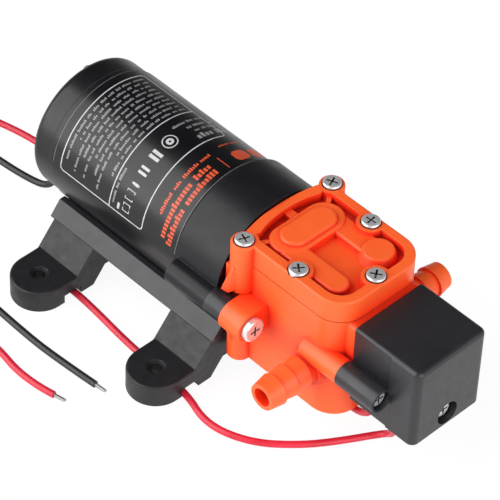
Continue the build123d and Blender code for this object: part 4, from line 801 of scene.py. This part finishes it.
white_ink = ink("white_ink", (0.34, 0.34, 0.35), (0.56, 0.56, 0.57))
faded_ink = ink("faded_white_ink", (0.16, 0.16, 0.165), (0.3, 0.3, 0.31))
orange_ink = ink("orange_ink", (0.46, 0.05, 0.016), (0.72, 0.088, 0.026))
# the grey of the label's edge lines is a painted highlight
label_edge_highlight = ink("label_edge_highlight", (0.10, 0.10, 0.11), (0.2, 0.2, 0.2))
for piece, finish in ((frame_line, white_ink), (divider_line, white_ink),
                      (white_rows, faded_ink), (plain_marks, white_ink),
                      (orange_rows, orange_ink), (edge_lines, label_edge_highlight)):
    piece.data.materials.append(finish)
    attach(piece, "pump")
print("inked")

# %% [markdown]
# ## Small trim on the head
# Each rear screw ear is braced by a wedge that grows wider towards its
# foot, and a dark hairline shows where the upper cover meets the body. Both
# are plain meshes: the wedge has eight corners and softened edges, and the
# hairline is a strip that follows the wall of the head. Their numbers are in
# millimetres, and heights count from the motor's axis.


# %% Wedges beside the ears
def make_wedge(name, side, level):
    # four corners at the ear, then four at the foot; side and level mirror them
    corners = ((11.0, 23.2, 16.2), (12.3, 23.3, 16.2), (12.3, 19.0, 16.2), (11.0, 19.0, 16.2),
               (8.7, 25.8, 6.1), (10.8, 24.6, 4.6), (12.9, 23.0, 6.4), (10.0, 18.9, 6.1))
    faces = ((0, 1, 2, 3), (4, 5, 6, 7), (0, 1, 5, 4), (1, 2, 6, 5), (2, 3, 7, 6), (3, 0, 4, 7))
    bm = bmesh.new()
    spots = [bm.verts.new(Vector((x, side * y, AXIS_HEIGHT + level * z)) * MM)
             for x, y, z in corners]
    for face in faces:
        bm.faces.new([spots[corner] for corner in face])
    bmesh.ops.bevel(bm, geom=bm.edges[:], offset=0.25 * MM, segments=2, affect="EDGES")
    wedge = finish_mesh(name, bm, smooth=False)
    wedge.data.materials.append(orange_plastic)
    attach(wedge, "pump")
    return wedge


wedges = [make_wedge(f"ear_wedge_{number}", side, level)
          for number, (side, level) in enumerate(((-1, 1), (1, 1), (-1, -1), (1, -1)), 1)]
print("trim", len(wedges), "wedges")

# %% The hairline
COVER_SEAM = 16.4
WALL_START = 15.9
WALL_SIDE = 18.9
CORNER_X = 43.7
CORNER_Y = 9.4
CORNER_ROUND = 9.5
QUARTER_STEPS = 24
PROUD = 0.05
HALF_LINE = 0.12


def make_hairline(name):
    # from the near ear along the wall, round the front corners, and back
    path = [(WALL_START, -WALL_SIDE, 0, -1)]
    for centre_y, quarter in ((-CORNER_Y, -1), (CORNER_Y, 0)):
        for step in range(QUARTER_STEPS + 1):
            turn = math.pi / 2 * (quarter + step / QUARTER_STEPS)
            path.append((CORNER_X + CORNER_ROUND * math.cos(turn),
                         centre_y + CORNER_ROUND * math.sin(turn),
                         math.cos(turn), math.sin(turn)))
    path.append((WALL_START, WALL_SIDE, 0, 1))
    bm = bmesh.new()
    pairs = [[bm.verts.new(Vector((x + out_x * PROUD, y + out_y * PROUD,
                                   AXIS_HEIGHT + COVER_SEAM + rise)) * MM)
              for rise in (-HALF_LINE, HALF_LINE)] for x, y, out_x, out_y in path]
    for one, two in zip(pairs, pairs[1:]):
        bm.faces.new((one[0], two[0], two[1], one[1]))
    return finish_mesh(name, bm)


shadow_tone = moulded("seam_shadow", deep=(0.34, 0.03, 0.006), plain=(0.4, 0.036, 0.008),
                      pale=(0.46, 0.045, 0.01), gloss=0.6, grain=0.1, haze=0.1)
hairline = make_hairline("upper_cover_hairline")
hairline.data.materials.append(shadow_tone)
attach(hairline, "pump")
print("hairline", len(hairline.data.polygons), "faces")

# %% [markdown]
# ## The stage
# The pump stands on a plain pale floor. The floor shows white to the
# camera and to reflections, which is what gives black plastic its grey
# sides, and still takes part of the pump's shadow. Behind the pump the
# mirrored floor and the room turn dark, as they do when a black card stands
# there, so the far edge of the motor stays black. The lamps are large and
# soft, so highlights are broad.

# %% Lay the floor
FLOOR_REACH = 6.0
bm = bmesh.new()
for x, y in ((-1, -1), (1, -1), (1, 1), (-1, 1)):
    bm.verts.new((x * FLOOR_REACH, y * FLOOR_REACH, 0))
bm.faces.new(bm.verts)
floor = finish_mesh("floor", bm, smooth=False)
print("floor", FLOOR_REACH * 2, "m wide")

# %% Paint the floor
BEHIND_PUMP = (-0.7, 0.7, 0)
WHITE_SHARE = 0.86


def combined(tree, operation, one, two):
    reckoned = tree.nodes.new("ShaderNodeMath")
    reckoned.operation = operation
    feed(tree, one, reckoned.inputs[0])
    feed(tree, two, reckoned.inputs[1])
    return reckoned.outputs["Value"]


floor_paint, tree, shader, place = start_finish("pale_floor")
shader.inputs["Base Color"].default_value = (0.86, 0.86, 0.86, 1)
shader.inputs["Roughness"].default_value = 0.9
glow = tree.nodes.new("ShaderNodeEmission")
glow.inputs["Strength"].default_value = 1.07
ray = tree.nodes.new("ShaderNodeLightPath").outputs
card = ranged(tree, agreement(tree, place, BEHIND_PUMP), 0.0, 0.07, 1.0, 0.08)
mirrored = combined(tree, "MULTIPLY", ray["Is Glossy Ray"], card)
seen = combined(tree, "MAXIMUM", ray["Is Camera Ray"], mirrored)
through = combined(tree, "MAXIMUM", seen, ray["Is Transmission Ray"])
mix = tree.nodes.new("ShaderNodeMixShader")
tree.links.new(combined(tree, "MULTIPLY", through, WHITE_SHARE), mix.inputs["Fac"])
tree.links.new(shader.outputs[0], mix.inputs[1])
tree.links.new(glow.outputs[0], mix.inputs[2])
tree.links.new(mix.outputs[0], tree.nodes["Material Output"].inputs["Surface"])
floor.data.materials.append(floor_paint)
print("painted", floor_paint.name)


# %% Set up the lamps
def soft_lamp(name, place, power, size):
    light = bpy.data.lights.new(name, "AREA")
    light.shape = "DISK"
    light.size = size
    light.energy = power
    lamp = bpy.data.objects.new(name, light)
    spot = Vector(place)
    lamp.location = spot
    lamp.rotation_euler = (Vector((0, 0, 0.03)) - spot).to_track_quat("-Z", "Y").to_euler()
    bpy.context.scene.collection.objects.link(lamp)
    return lamp


key_lamp = soft_lamp("key_lamp", (-0.72, -1.02, 0.86), power=30.0, size=2.0)
side_lamp = soft_lamp("side_lamp", (1.25, -0.1, 0.55), power=12.0, size=1.4)
print("lamps", key_lamp.name, side_lamp.name)

# %% Light the room
sky = bpy.data.worlds.new("studio_air")
bpy.context.scene.world = sky
sky.use_nodes = True
tree = sky.node_tree
air = tree.nodes["Background"]
way = tree.nodes.new("ShaderNodeTexCoord").outputs["Generated"]
parts = tree.nodes.new("ShaderNodeSeparateXYZ")
tree.links.new(way, parts.inputs[0])
walls = shades(tree, parts.outputs["Z"], (0.0, (1.0, 1.0, 1.0)), (0.2, (0.9, 0.9, 0.9)),
               (0.55, (0.28, 0.28, 0.285)), (1.0, (0.25, 0.25, 0.255)))
tree.links.new(walls, air.inputs["Color"])
backdrop = ranged(tree, agreement(tree, way, BEHIND_PUMP), 0.2, 0.5, 1.0, 0.2)
looked_at = tree.nodes.new("ShaderNodeLightPath").outputs["Is Camera Ray"]
tree.links.new(combined(tree, "MAXIMUM", backdrop, looked_at), air.inputs["Strength"])
bpy.context.scene.view_settings.view_transform = "Standard"
print("room", sky.name)
